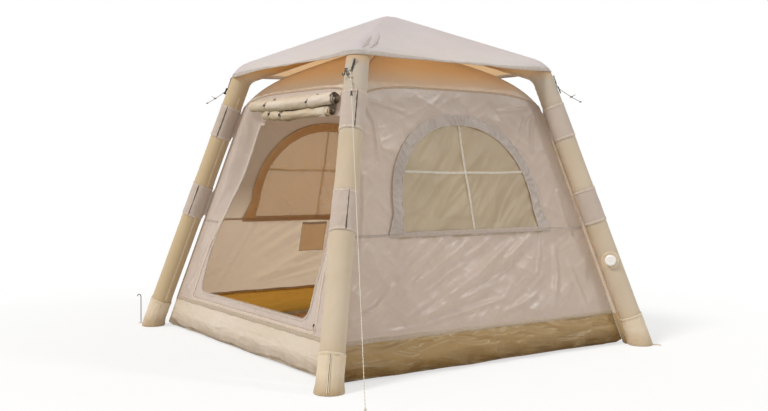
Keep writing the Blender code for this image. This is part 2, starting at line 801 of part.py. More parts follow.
def arch_side(base_half, spring_half, rise, grow=0.0, drop=0.0):
    """The arch's right half from its base to its crown, grown outward by a clearance."""
    path = [(base_half + grow, WINDOW_BOTTOM - grow - drop)]
    for i in range(ARCH_STEPS + 1):
        angle = TURN / 4 * i / ARCH_STEPS
        u = (spring_half + grow) * math.cos(angle) ** (2 / ARCH_POWER) if i < ARCH_STEPS else 0
        path.append((u, WINDOW_SPRING + (rise + grow) * math.sin(angle) ** (2 / ARCH_POWER)))
    return path


def window_outline(grow):
    """The window's edge as evenly spaced points, grown outward by a clearance."""
    side = arch_side(PANEL_BASE_HALF, PANEL_SPRING_HALF, PANEL_RISE, grow)
    split = len(side) // 2 + 1
    top = side[split:] + mirrored(side[split:-1])
    right = side[:split + 1]
    return (resample([mirrored(side)[-1], side[0]], WALL_BOTTOM_STEPS)
            + resample(right, WALL_SIDE_STEPS) + resample(top, ROOF_STEPS)
            + resample(mirrored(right), WALL_SIDE_STEPS))


def zip_half(height):
    """Distance of the door's zip from the wall's middle at a height."""
    share = (height - ZIP_BOTTOM) / (DOOR_HEAD - ZIP_BOTTOM)
    return ZIP_BOTTOM_HALF + (ZIP_HEAD_HALF - ZIP_BOTTOM_HALF) * share


def door_hole():
    half_tape = ZIP_TAPE / 2
    right = []
    for i in range(WALL_SIDE_STEPS // 2 + 1):
        angle = TURN / 4 * i / (WALL_SIDE_STEPS // 2)
        right.append((DOOR_SILL_HALF - DOOR_CORNER + DOOR_CORNER * math.sin(angle),
                      DOOR_SILL + DOOR_CORNER - DOOR_CORNER * math.cos(angle)))
    right += [(zip_half(DOOR_KNEE) - half_tape, DOOR_KNEE), (zip_half(DOOR_HEAD) - half_tape, DOOR_HEAD)]
    head = [right[-1], mirrored(right)[0]]
    return (resample([mirrored(right)[-1], right[0]], WALL_BOTTOM_STEPS)
            + resample(right, WALL_SIDE_STEPS) + resample(head, ROOF_STEPS)
            + resample(mirrored(right), WALL_SIDE_STEPS))


def fold_share(u, height):
    """How deep the cloth's main folds go, from 0 to 1: two long creases across each half."""
    lean = u + (height - WINDOW_BOTTOM)
    wave = math.sin(TURN * lean / WALL_FOOT) * math.sin(TURN * height / WINDOW_BOTTOM / 2)
    return 0.6 + 0.4 * wave


def make_wall(side, hole, inset, billow):
    """A wall's cloth between its seams and the edge of its opening, hanging slightly in."""
    rows = []
    outline = wall_outline(inset)
    for ring in range(WALL_RINGS + 1):
        share = ring / WALL_RINGS
        fade = math.sin(math.pi * share) ** 2
        row = []
        for (hole_u, hole_z), (edge_u, edge_z) in zip(hole, outline):
            u = hole_u + (edge_u - hole_u) * share
            height = hole_z + (edge_z - hole_z) * share
            row.append(wall_point(side, u, height, -billow * fade * fold_share(u, height)))
        rows.append(row)
    sheet_object(side + "_wall", rows, False, WALL_CLOTH, WALL)


def slope_outline(path):
    """An outline of (u, height) laid in a wall's plane, from the window's bottom up."""
    return [(u, slope_length(height - WINDOW_BOTTOM)) for u, height in path]


def make_window(side):
    """The window's mesh panel, and its binding with the cross of tapes over it."""
    panel = slope_outline(window_outline(0.0))
    depth = WALL_CLOTH / 2
    flat_object("window_mesh_" + side, [panel], PANEL_THICKNESS, MESH,
                wall_frame(side, WINDOW_BOTTOM, -depth))
    trim_side = arch_side(TRIM_BASE_HALF, TRIM_SPRING_HALF, TRIM_RISE, 0.0, TRIM_DROP)
    outer = slope_outline(trim_side + mirrored(trim_side[:-1]))
    panes = [slope_outline(pane(sign, upper)) for sign in (1, -1) for upper in (True, False)]
    flat_object("window_trim_" + side, [outer] + panes, TRIM_THICKNESS, BINDING,
                wall_frame(side, WINDOW_BOTTOM, GAP + TRIM_THICKNESS / 2))


def pane(sign, upper):
    """One of the four clear fields between the binding and the cross."""
    half_bar = BAR_WIDTH / 2
    if upper:
        low = BAR_HEIGHT + half_bar
        high = arch_height(half_bar, PANEL_SPRING_HALF, PANEL_RISE)
    else:
        low = WINDOW_BOTTOM + half_bar
        high = BAR_HEIGHT - half_bar
    path = [(sign * half_bar, low)]
    for i in range(ARCH_STEPS + 1):
        share = math.sin(TURN / 4 * i / ARCH_STEPS)
        height = low + (high - low) * share
        u = arch_half(height, PANEL_BASE_HALF, PANEL_SPRING_HALF, PANEL_RISE)
        path.append((sign * max(u, half_bar), height))
    if not upper:
        path.append((sign * half_bar, high))
    return path


def skirt_wave(u, quarter):
    """How much the skirt's lower edge rises and falls along a side, from -1 to 1."""
    share = u / WALL_FOOT
    return 0.6 * math.sin(5.3 * share + 1.7 * quarter) + 0.4 * math.sin(13 * share + quarter)


def make_floor():
    """The bathtub floor: flat groundsheet turned up into a skirt with a wavy lower edge."""
    levels = [("top", WALL_BOTTOM), ("middle", SKIRT_MIDDLE), ("edge", SKIRT_EDGE),
              ("turn", FLOOR_TURN_HEIGHT), ("flat", 0)]
    rows = []
    for name, height in levels:
        row = []
        for quarter in range(4):
            turn = Matrix.Rotation(TURN * quarter / 4, 3, "Z")
            for i in range(SKIRT_STEPS):
                share = 2 * i / SKIRT_STEPS - 1
                lift = 0
                if name in ("edge", "turn"):
                    calm = 1 - share ** 8
                    lift = SKIRT_WAVE * skirt_wave(share * WALL_FOOT, quarter) * calm
                if name == "turn":
                    lift = lift / 3
                half = wall_half(height + lift)
                if name == "turn":
                    half = FLOOR_TURN_HALF
                if name == "flat":
                    half = FLOOR_FLAT_HALF
                row.append(turn @ Vector((half, half * share, height + lift)))
        rows.append(row)
    sheet_object("bathtub_floor", rows, True, FLOOR_CLOTH, SKIRT)


def make_inner_roof():
    """The dome over the walls, its hips close under the beams."""
    slope = (HUB_HEIGHT - ELBOW_HEIGHT) / ELBOW_HALF
    seam = []
    corner_half = wall_half(WALL_CORNER_TOP)
    for quarter in range(4):
        turn = Matrix.Rotation(TURN * quarter / 4, 3, "Z")
        for i in range(ROOF_STEPS):
            share = 2 * i / ROOF_STEPS - 1
            height = seam_height(share * corner_half) + 3 * GAP
            half = wall_half(height)
            along = corner_half * share if i else -half
            seam.append((turn @ Vector((half, along, 0)), half, height))
    rows = []
    for share in (1.0,) + ROOF_ROW_SHARES:
        row = []
        for point, half, height in seam:
            drop = ROOF_CROWN - slope * half - height
            row.append(point * share + UP * (ROOF_CROWN - slope * half * share
                                             - drop * share ** ROOF_SHOULDER_POWER))
        rows.append(row)
    sheet_object("inner_roof", rows, True, ROOF_CLOTH, CANOPY)


def make_band(corner, level):
    """A wrap band round the leg with a fin to the inner tent's corner."""
    height = BAND_HEIGHTS[level]
    frame = leg_frame(corner, height)
    back = frame.inverted()
    radius = TUBE_RADIUS + GAP + BAND_WALL
    sx, sy = CORNERS[corner]
    reaches = []
    for end in (-1, 1):
        z = height + end * BAND_LENGTH / 2 * frame.col[2].z
        seam = Vector((sx * wall_half(z), sy * wall_half(z), z))
        reaches.append((back @ seam).y)
    tip = max(reaches) + GAP
    start = math.asin(BAND_FIN / 2 / radius)
    outline = [(-BAND_FIN / 2, tip)]
    for i in range(TUBE_SIDES):
        angle = -TURN / 4 - start - (TURN - 2 * start) * i / (TUBE_SIDES - 1)
        outline.append((radius * math.cos(angle), radius * math.sin(angle)))
    outline.append((BAND_FIN / 2, tip))
    hole = []
    for i in range(TUBE_SIDES):
        angle = TURN * i / TUBE_SIDES
        hole.append(((TUBE_RADIUS + GAP) * math.cos(angle), (TUBE_RADIUS + GAP) * math.sin(angle)))
    flat_object("band_" + level + "_" + corner, [outline, hole], BAND_LENGTH, BAND, frame)


# Door pieces

def make_zip_track():
    """The zip's tape down both sides of the door and along its foot."""
    half = ZIP_TAPE / 2
    top = DOOR_HEAD
    low = ZIP_BOTTOM
    outer = [(-zip_half(top) - half, top), (-zip_half(low) - half, low - half),
             (zip_half(low) + half, low - half), (zip_half(top) + half, top)]
    inner = [(zip_half(top) - half, top), (zip_half(low) - half, low + half),
             (half - zip_half(low), low + half), (half - zip_half(top), top)]
    flat_object("door_zip_track", [slope_outline(outer + inner)], ZIP_THICKNESS, ZIP,
                wall_frame("door", WINDOW_BOTTOM, GAP + ZIP_THICKNESS / 2))


def make_zip_slider():
    """The door's slider with its pull, on the right-hand zip."""
    out = GAP + ZIP_THICKNESS + GAP
    low = wall_point("door", zip_half(ZIP_BOTTOM), ZIP_BOTTOM, 0)
    high = wall_point("door", zip_half(DOOR_HEAD), DOOR_HEAD, 0)
    along = (high - low).normalized()
    normal = wall_frame("door").col[2].to_3d()
    origin = wall_point("door", zip_half(SLIDER_START), SLIDER_START, out)
    matrix = frame_matrix(normal.cross(along) * -1, along, normal, origin)
    slider = box_object("door_zip_slider", (SLIDER_WIDTH, SLIDER_LENGTH, SLIDER_THICKNESS),
                        (0, 0, SLIDER_THICKNESS / 2), METAL, matrix)
    bevel(slider, SLIDER_THICKNESS / 4)
    pull = box_object("zip_pull", (PULL_WIDTH, PULL_LENGTH, PULL_THICKNESS),
                      (0, -PULL_LENGTH / 2, SLIDER_THICKNESS - PULL_THICKNESS / 2), None, matrix)
    join(slider, pull)


def spiral_outline(radius, pitch, cloth, turns, drop, tail, tail_out):
    """Section of rolled cloth: a tail down from the hinge line, then a spiral, as (out, down)."""
    steps = int(ROLL_TURN_STEPS * turns)
    centre_out = tail_out + radius
    outer = [(tail_out, 0)]
    inner = [(tail_out + tail, 0)]
    for i in range(steps + 1):
        share = i / steps
        angle = TURN * turns * share
        reach = radius - pitch * turns * share
        thick = tail + (cloth - tail) * min(1.0, 3 * share)
        for found, arm in ((outer, reach), (inner, reach - thick)):
            found.append((centre_out - arm * math.cos(angle), drop + arm * math.sin(angle)))
    return outer + inner[::-1]


def make_roll(name, left, right, size, places, finish):
    """Rolled cloth lofted along the header, drawn in at its straps and sagging between them."""
    radius, pitch, cloth, turns, drop, sag, tail, tail_out = size
    frame = wall_frame("door", HEADER, 0)
    marks = sorted([left, right] + [p + side * STRAP_WIDTH for p in places for side in (-1, 0, 1)])
    marks = [left + (marks[1] - left) / 2 if i == 0 else m for i, m in enumerate(marks)]
    marks = [left] + marks
    bm = bmesh.new()
    rows = []
    for u in marks:
        share = (u - left) / (right - left)
        pinch = PINCH_SHARE if any(abs(u - p) < STRAP_WIDTH / 2 for p in places) else 1.0
        lower = sag * math.sin(math.pi * share)
        size_here = radius * pinch
        outline = spiral_outline(size_here, pitch * pinch, cloth * pinch, turns, drop + lower, tail, tail_out)
        rows.append([bm.verts.new(frame @ Vector((u, -down, out))) for out, down in outline])
    bridge(bm, rows)
    bm.faces.new(rows[0])
    bm.faces.new(rows[-1])
    bmesh.ops.recalc_face_normals(bm, faces=bm.faces)
    ob = mesh_object(name, bm, finish)
    round_shading(ob)


def roll_sizes():
    mesh_out = GAP
    roll_out = mesh_out + MESH_TAIL + GAP
    door = (ROLL_RADIUS, ROLL_PITCH, ROLL_CLOTH, ROLL_TURNS, ROLL_DROP, ROLL_SAG, ROLL_TAIL, roll_out)
    mesh = (MESH_RADIUS, MESH_PITCH, MESH_CLOTH, MESH_TURNS, MESH_DROP, MESH_SAG, MESH_TAIL, mesh_out)
    return door, mesh


def make_rolls():
    door, mesh = roll_sizes()
    make_roll("door_roll", ROLL_LEFT, ROLL_RIGHT, door, STRAP_PLACES.values(), WALL)
    make_roll("mesh_roll", MESH_LEFT, MESH_RIGHT, mesh, (), MESH)


def make_strap(name, u):
    """A tie strap round the door roll, open at the back where the cloth comes down."""
    radius, pitch, cloth, turns, drop, sag, tail, tail_out = roll_sizes()[0]
    share = (u - ROLL_LEFT) / (ROLL_RIGHT - ROLL_LEFT)
    down = drop + sag * math.sin(math.pi * share)
    inner = radius * PINCH_SHARE + GAP
    outer = inner + STRAP_THICKNESS
    centre = Vector((tail_out + radius * PINCH_SHARE, -down))
    first = math.radians(35)
    last = TURN - math.radians(75)
    path = []
    for reach, way in ((outer, 1), (inner, -1)):
        for i in range(ROLL_TURN_STEPS + 1):
            share = i / ROLL_TURN_STEPS if way == 1 else 1 - i / ROLL_TURN_STEPS
            angle = first + (last - first) * share
            path.append((centre.x - reach * math.cos(angle), centre.y - reach * math.sin(angle)))
    frame = wall_frame("door", HEADER, 0)
    along, up_slope, normal = (frame.col[i].to_3d() for i in range(3))
    origin = frame @ Vector((u, 0, 0))
    matrix = frame_matrix(normal, up_slope, normal.cross(up_slope), origin)
    flat_object("roll_strap_" + name, [path], STRAP_WIDTH, ZIP, matrix)


def make_pocket():
    """A cloth pocket that hangs from the left wall's inside."""
    width = POCKET_RIGHT - POCKET_LEFT
    back = WALL_CLOTH + WALL_BILLOW * POCKET_BILLOW_SHARE + GAP
    centre = (-(POCKET_LEFT + POCKET_RIGHT) / 2, -POCKET_DEPTH / 2, -back - POCKET_THICKNESS / 2)
    pocket = box_object("pocket", (width, POCKET_DEPTH, POCKET_THICKNESS), centre, WALL,
                        wall_frame("left", POCKET_TOP))
    bevel(pocket, POCKET_ROUND, 3)


# Valve

def valve_frame():
    """Local Z runs out of the valve, from the back right leg's axis."""
    leg = leg_frame("back_right", VALVE_HEIGHT)
    out = leg.col[0].to_3d()
    along = leg.col[2].to_3d()
    return frame_matrix(along, out.cross(along), out, leg.translation)


def make_valve(leg_sleeve, bladder):
    frame = valve_frame()
    for pierced, radius in ((leg_sleeve, VALVE_NECK + GAP), (bladder, BLADDER_HOLE)):
        hole = [(0, VALVE_NECK_END), (radius, VALVE_NECK_END), (radius, OVERRUN), (0, OVERRUN)]
        cut(pierced, turned_object(pierced.name + "_hole", hole, None, frame))
    make_valve_body(frame)
    make_plunger(frame)
    make_valve_cap(frame)


def ring_profile(inner, outer, low, high):
    return [(outer, high), (outer, low), (inner, low), (inner, high)]


def make_valve_body(frame):
    """Saddle flange on the sleeve, threaded neck and the web that guides the plunger."""
    flange = ring_profile(VALVE_NECK - GAP, VALVE_FLANGE, VALVE_INNER, VALVE_SEAT)
    body = turned_object("valve_body", flange, WHITE, frame)
    leg = leg_frame("back_right", VALVE_HEIGHT)
    rise = leg.col[2].to_3d()
    span = [leg.translation - rise * VALVE_NECK_END, leg.translation + rise * VALVE_NECK_END]
    cut(body, tube_object("valve_saddle", stations(span, TUBE_RADIUS + GAP), None,
                          leg.col[0].to_3d(), TUBE_SIDES, None))
    neck = ring_profile(VALVE_BORE, VALVE_NECK, VALVE_INNER, VALVE_NECK_END)
    join(body, turned_object("valve_neck", neck, None, frame))
    stem_hole = PLUNGER_STEM + GAP
    web_top = VALVE_WEB + VALVE_WEB_THICKNESS
    join(body, turned_object("valve_web", ring_profile(stem_hole, VALVE_BORE + GAP, VALVE_WEB, web_top),
                             None, frame))
    for i in range(4):
        angle = TURN * i / 4
        spot = Vector((math.cos(angle), math.sin(angle), 0)) * VALVE_PORT_CIRCLE
        port = [(0, VALVE_SEAT), (VALVE_PORT, VALVE_SEAT), (VALVE_PORT, VALVE_INNER), (0, VALVE_INNER)]
        cut(body, turned_object("valve_port_%d" % i, port, None, frame @ Matrix.Translation(spot), 10))


def make_plunger(frame):
    """The sealing disc, its stem and push head, with the spring that holds it shut."""
    disc_top = VALVE_INNER - GAP
    disc_low = disc_top - PLUNGER_DISC_THICKNESS
    head_top = PLUNGER_HEAD_START + PLUNGER_HEAD_THICKNESS
    profile = [(0, head_top), (PLUNGER_HEAD, head_top), (PLUNGER_HEAD, PLUNGER_HEAD_START),
               (PLUNGER_STEM, PLUNGER_HEAD_START), (PLUNGER_STEM, disc_top), (PLUNGER_DISC, disc_top),
               (PLUNGER_DISC, disc_low), (0, disc_low)]
    turned_object("valve_plunger", profile, RUBBER, frame)
    low = VALVE_WEB + VALVE_WEB_THICKNESS + GAP + SPRING_WIRE
    high = PLUNGER_HEAD_START - GAP - SPRING_WIRE
    count = SPRING_TURNS * 9
    points = []
    for i in range(count + 1):
        angle = TURN * SPRING_TURNS * i / count
        spot = Vector((SPRING_RADIUS * math.cos(angle), SPRING_RADIUS * math.sin(angle),
                       low + (high - low) * i / count))
        points.append(frame @ spot)
    rod_object("valve_spring", points, SPRING_WIRE, METAL, 0)


def make_valve_cap(frame):
    """The screw cap, hollow over the neck and plunger, with finger grips."""
    seat = VALVE_SEAT + GAP
    bore = VALVE_NECK + GAP
    profile = [(0, CAP_END), (CAP_CROWN_HALF, CAP_END), (CAP_RADIUS, CAP_RIM), (CAP_RADIUS, seat),
               (bore, seat), (bore, CAP_HOLLOW), (0, CAP_HOLLOW)]
    cap = turned_object("valve_cap", profile, WHITE, frame, GRIP_COUNT * 2)
    for i in range(GRIP_COUNT):
        angle = TURN * (i + 0.5) / GRIP_COUNT
        reach = CAP_RADIUS + GRIP_RADIUS / 2
        spot = Vector((math.cos(angle), math.sin(angle), 0)) * reach
        groove = [(0, CAP_RIM), (GRIP_RADIUS, CAP_RIM), (GRIP_RADIUS, 0), (0, 0)]
        cut(cap, turned_object("grip_%d" % i, groove, None, frame @ Matrix.Translation(spot), 8))


# Corner hooks, cords and pegs

def leg_surface(corner, height, turn, out):
    """Point and directions on a leg's surface: across, up the leg and out of it."""
    leg = leg_frame(corner, height)
    radial = leg.col[1].to_3d() * math.cos(turn) + leg.col[0].to_3d() * math.sin(turn)
    rise = leg.col[2].to_3d()
    return frame_matrix(rise.cross(radial), rise, radial, leg.translation + radial * (TUBE_RADIUS + out))


def make_corner_hook(corner):
    """The canopy corner's elastic with the moulded hook that clips to the leg."""
    turn = math.radians(HOOK_TURNS_DEG[corner])
    out = GAP + HOOK_THICKNESS / 2
    points = []
    steps = 5
    for i in range(steps + 1):
        share = i / steps
        height = ELASTIC_START + (HOOK_HEIGHT - ELASTIC_START) * share
        points.append(leg_surface(corner, height, turn * share, out).translation)
    hook = box_object("corner_hook_" + corner, (HOOK_WIDTH, HOOK_LENGTH, HOOK_THICKNESS), (0, 0, 0),
                      BLACK, leg_surface(corner, HOOK_HEIGHT, turn, out))
    bevel(hook, HOOK_ROUND)
    elastic = rod_object("elastic_" + corner, points, ELASTIC_RADIUS, None)
    join(hook, solid_from_curve(elastic, None))


def hook_end(corner):
    """Where a guy line leaves the hook, just under its lower end."""
    turn = math.radians(HOOK_TURNS_DEG[corner])
    surface = leg_surface(corner, HOOK_HEIGHT, turn, GAP + HOOK_THICKNESS / 2)
    return surface @ Vector((0, -HOOK_LENGTH / 2 - GAP, 0))


def guy_ends():
    start = hook_end("front_right") + outward("front_right") * CORD_RADIUS
    return start, GUY_PEG


def make_guy_line():
    start, end = guy_ends()
    points = [start.lerp(end, i / GUY_STEPS) for i in range(GUY_STEPS + 1)]
    rod_object("guy_line", points, CORD_RADIUS, CORD)
    way = (end - start).normalized()
    side = way.cross(UP).normalized()
    frame = frame_matrix(side, way.cross(side), way, start + way * RUNNER_START)
    bore = CORD_RADIUS + GAP
    profile = [(RUNNER_RADIUS, RUNNER_LENGTH), (RUNNER_WAIST, RUNNER_LENGTH / 2), (RUNNER_RADIUS, 0),
               (bore, 0), (bore, RUNNER_LENGTH)]
    turned_object("guy_runner", profile, BLACK, frame, 14)


def make_guy_peg():
    """The ground peg that holds the guy line, its hook over the line's end."""
    start, end = guy_ends()
    level = Vector((start.x - end.x, start.y - end.y, 0)).normalized()
    slope = math.radians(GUY_PEG_SLOPE_DEG)
    shank = level * math.cos(slope) - UP * math.sin(slope)
    head = end + (end - start).normalized() * (7 * GAP + PEG_RADIUS)
    middle = head - level * PEG_HOOK
    points = []
    for i in range(PEG_HOOK_STEPS + 1):
        angle = math.radians(PEG_HOOK_DEG) * (1 - i / PEG_HOOK_STEPS) - slope
        points.append(middle + (level * math.cos(angle) + UP * math.sin(angle)) * PEG_HOOK)
    points.append(points[-1] + shank * GUY_PEG_LENGTH)
    rod_object("guy_peg", points, PEG_RADIUS, METAL)


def make_stub(corner):
    """A short guy cord from a corner hook, ending in a knot."""
    fall = math.radians(STUB_FALL_DEG)
    way = outward(corner) * math.cos(fall) - UP * math.sin(fall)
    start = hook_end(corner) + way * CORD_SEAT
    points = []
    for i in range(STUB_STEPS + 1):
        share = i / STUB_STEPS
        points.append(start + way * STUB_LENGTH * share - UP * STUB_SAG * math.sin(math.pi * share))
    stub = solid_from_curve(rod_object("guy_stub_" + corner, points, CORD_RADIUS, None), CORD)
    bm = bmesh.new()
    bmesh.ops.create_uvsphere(bm, u_segments=8, v_segments=6, radius=KNOT_RADIUS)
    join(stub, mesh_object("knot_" + corner, bm, None, Matrix.Translation(points[-1])))


def make_standing_peg():
    """The hooked steel peg that stands in the front left foot's tab."""
    way, reach = peg_way("front_left")
    foot = beam_points("front_left")[0]
    base = foot + way * (cap_edge() + reach - PEG_TAB_END)
    shoulder = PEG_LENGTH - PEG_HOOK
    points = [base, base + UP * shoulder]
    for i in range(1, PEG_HOOK_STEPS):
        angle = math.radians(PEG_HOOK_DEG) * i / PEG_HOOK_STEPS
        points.append(base + UP * (shoulder + PEG_HOOK * math.sin(angle))
                      + outward("front_left") * PEG_HOOK * (1 - math.cos(angle)))
    rod_object("standing_peg", points, PEG_RADIUS, METAL)


clear_scene()
PART = new_collection("inflatable_tent")
CUTTERS = new_collection("cutters")
CREAM = material("cream oxford cloth", (0.72, 0.63, 0.50), 0.8)
CANOPY = material("pale canopy cloth", (0.72, 0.66, 0.60), 0.75)
WALL = material("tent cloth", (0.62, 0.53, 0.44), 0.8)
SKIRT = material("skirt cloth", (0.66, 0.58, 0.44), 0.7)
BAND = material("wrap band cloth", (0.50, 0.42, 0.38), 0.8)
MESH = material("insect mesh", (0.42, 0.38, 0.28), 0.9)
BINDING = material("grey binding", (0.50, 0.47, 0.43), 0.8)
ZIP = material("zip tape", (0.40, 0.34, 0.28), 0.7)
CORD = material("guy cord", (0.80, 0.78, 0.72), 0.7)
BLADDER = material("air tube film", (0.75, 0.76, 0.74), 0.4)
WHITE = material("white plastic", (0.85, 0.85, 0.84), 0.4)
BLACK = material("black plastic", (0.02, 0.02, 0.02), 0.4)
RUBBER = material("valve rubber", (0.05, 0.05, 0.05), 0.6)
METAL = material("galvanised steel", (0.50, 0.50, 0.50), 0.4, 1.0)

LEGS = {}
BLADDERS = {}
for corner_name in CORNERS:
    make_foot_cap(corner_name)
    LEGS[corner_name] = make_sleeves(corner_name)
    BLADDERS[corner_name] = make_bladder(corner_name)
    for band_level in BAND_HEIGHTS:
        make_band(corner_name, band_level)
    make_corner_hook(corner_name)
make_air_hub()
make_canopy()
BUTT = WALL_CLOTH * math.hypot(1, WALL_LEAN_SHARE) + GAP
make_wall("door", door_hole(), BUTT, DOOR_BILLOW)
make_wall("back", window_outline(WINDOW_GAP), BUTT, WALL_BILLOW)
make_wall("right", window_outline(WINDOW_GAP), 0.0, WALL_BILLOW)
make_wall("left", window_outline(WINDOW_GAP), 0.0, WALL_BILLOW)
for wall_name in ("right", "back", "left"):
    make_window(wall_name)
make_floor()
make_inner_roof()
make_zip_track()
make_zip_slider()
make_rolls()
for strap_name, strap_u in STRAP_PLACES.items():
    make_strap(strap_name, strap_u)
make_pocket()
make_valve(LEGS["back_right"], BLADDERS["back_right"])
make_guy_line()
make_guy_peg()
make_stub("front_left")
make_stub("back_right")
make_standing_peg()
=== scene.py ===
import math

import bmesh
import bpy
import numpy as np
from mathutils import Matrix, Vector


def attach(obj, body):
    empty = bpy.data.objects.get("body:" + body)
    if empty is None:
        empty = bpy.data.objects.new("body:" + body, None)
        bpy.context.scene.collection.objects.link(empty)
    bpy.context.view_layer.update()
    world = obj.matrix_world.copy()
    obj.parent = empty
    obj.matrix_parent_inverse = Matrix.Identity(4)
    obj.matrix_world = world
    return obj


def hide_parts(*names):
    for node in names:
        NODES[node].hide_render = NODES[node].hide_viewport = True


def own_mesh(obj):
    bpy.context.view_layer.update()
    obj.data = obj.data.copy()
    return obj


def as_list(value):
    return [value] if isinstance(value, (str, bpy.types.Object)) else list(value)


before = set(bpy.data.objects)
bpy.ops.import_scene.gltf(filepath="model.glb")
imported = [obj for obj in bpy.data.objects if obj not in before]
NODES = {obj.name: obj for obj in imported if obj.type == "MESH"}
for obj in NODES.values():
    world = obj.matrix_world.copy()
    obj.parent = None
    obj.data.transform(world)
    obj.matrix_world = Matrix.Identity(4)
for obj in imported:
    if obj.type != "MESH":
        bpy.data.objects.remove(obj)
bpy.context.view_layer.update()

# Sizes shared with the CAD, in metres
LEAN = 0.26
WALL_FOOT = 1.070
TUBE = 0.065
FOOT_HALF = 1.147
ELBOW_HALF = 0.689
ELBOW_Z = 1.698
ELBOW_R = 0.130
HUB_Z = 2.005
SEAM_Z = 0.200
MID_Z = 0.735
CORNER_TOP = 1.480
ARCH = 0.070
ROOF_CROWN = 1.905
SLOPE = (HUB_Z - ELBOW_Z) / ELBOW_HALF
BANDS = {"upper": 1.384, "middle": 0.862}
BAND_HALF = 0.111
VALVE_Z = 0.53
CROWN, HEM_HALF = 2.0584, 0.7690
GROUND_Z = 0.0004
POCKET_U = 0.0145
CROSS_Z = 1.072
SIDE_SEAM_Z = 0.728
SPRING_Z = 0.850
POWER = 2.15
PANEL = (0.510, 0.489, 0.494)
TRIM = (0.600, 0.550, 0.551)
CORNERS = {"front_right": (1, -1), "back_right": (1, 1), "back_left": (-1, 1), "front_left": (-1, -1)}
SIDES = {"door": (0, -1), "right": (1, 0), "back": (0, 1), "left": (-1, 0)}
QUARTERS = ("right", "back", "left", "door")  # the sides as four_sides turns them
WINDOW_SIDES = ("right", "back", "left")
UP = np.array([0.0, 0.0, 1.0])
TURN = 2 * math.pi
RNG = np.random.default_rng(11)
PERM = np.tile(RNG.permutation(256), 2)
GRADS = RNG.normal(size=(256, 3))
GRADS /= np.linalg.norm(GRADS, axis=1)[:, None]


# Camera at the photograph's viewpoint

def make_camera():
    yaw, pitch, roll = -0.9574, -0.0426, 0.0082
    focal_pixels, sensor = 933.8, 36
    forward = Vector((math.sin(yaw) * math.cos(pitch), math.cos(yaw) * math.cos(pitch), math.sin(pitch)))
    level = forward.cross(Vector((0, 0, 1))).normalized()
    above = level.cross(forward)
    right, up = (level * math.cos(roll) + above * math.sin(roll), above * math.cos(roll) - level * math.sin(roll))
    lens = bpy.data.cameras.new("camera")
    lens.sensor_width = sensor
    lens.lens = focal_pixels * sensor / 768
    camera = bpy.data.objects.new("camera", lens)
    bpy.context.scene.collection.objects.link(camera)
    matrix = Matrix((right, up, -forward)).transposed().to_4x4()
    matrix.translation = Vector((4.9587, -3.5122, 1.1036))
    camera.matrix_world = matrix
    bpy.context.scene.camera = camera


make_camera()


# Noise and small helpers

def noise(p):
    cell = np.floor(p).astype(int)
    f = p - cell
    w = f * f * f * (f * (f * 6 - 15) + 10)
    total = 0
    for dx in (0, 1):
        for dy in (0, 1):
            for dz in (0, 1):
                h = PERM[PERM[PERM[(cell[..., 0] + dx) & 255] + ((cell[..., 1] + dy) & 255)]
                         + ((cell[..., 2] + dz) & 255)]
                dot = (GRADS[h] * (f - (dx, dy, dz))).sum(-1)
                share = ((w[..., 0] if dx else 1 - w[..., 0]) * (w[..., 1] if dy else 1 - w[..., 1])
                         * (w[..., 2] if dz else 1 - w[..., 2]))
                total = total + share * dot
    return total * 1.7


def fbm(p, octaves=3, gain=0.5):
    total, weight = 0, 1
    for i in range(octaves):
        total = total + noise(p * 2.03 ** i + 17.3 * i) * weight
        weight *= gain
    return total


def ridged(p):
    """Soft creases with narrow crests, about zero on average."""
    return 1 - 2 * np.abs(noise(p)) ** 0.7


def smooth(x, low, high):
    t = np.clip((x - low) / (high - low), 0, 1)
    return t * t * (3 - 2 * t)


def bell(x, width):
    """One where x is zero, falling to nothing on both sides."""
    return np.exp(-(x / width) ** 2)


def row(*values):
    return np.array(values, float)


def line(a, b, n):
    t = np.linspace(0, 1, n)[:, None]
    return np.asarray(a, float) * (1 - t) + np.asarray(b, float) * t


def circle(steps, start=0.0):
    """Angles once round, without the repeated last one."""
    return start + TURN * np.arange(steps) / steps


def unit(v):
    return np.asarray(v, float) / np.linalg.norm(v)


def units(rows):
    """Rows of vectors, each brought to length one."""
    return rows / np.linalg.norm(rows, axis=1, keepdims=True)


def run(path):
    """Length along a path up to each of its points."""
    return np.concatenate([[0], np.cumsum(np.linalg.norm(np.diff(path, axis=0), axis=1))])


def turned(quarter, x, y, z):
    """Points of the right-hand side, turned about Z to another side."""
    c, s = math.cos(TURN * quarter / 4), math.sin(TURN * quarter / 4)
    return np.stack([x * c - y * s, x * s + y * c, z], -1)


def four_sides(x, y, z):
    """A closed ring: the points of one side, turned about Z for the other three."""
    return np.concatenate([turned(quarter, x, y, z) for quarter in range(4)])


def strip_uv(along, *across):
    """UVs of a strip whose rows lie across it: metres along and a share across."""
    return np.stack(np.broadcast_arrays(np.asarray(along)[None, :], row(*across)[:, None]), -1)


def at(*parts):
    """Points for the noise from coordinates of one shape."""
    return np.stack(np.broadcast_arrays(*parts), -1).astype(float)


def seg_distance(u, v, path):
    """Distance of (u, v) from a polyline and the share along it of the nearest point."""
    best = np.full(u.shape, 1e9)
    share = np.zeros(u.shape)
    for i, ((a0, b0), (a1, b1)) in enumerate(zip(path, path[1:])):
        du, dv = a1 - a0, b1 - b0
        t = np.clip(((u - a0) * du + (v - b0) * dv) / (du * du + dv * dv + 1e-12), 0, 1)
        d = np.hypot(u - a0 - du * t, v - b0 - dv * t)
        nearer = d < best
        best = np.where(nearer, d, best)
        share = np.where(nearer, (i + t) / (len(path) - 1), share)
    return best, share


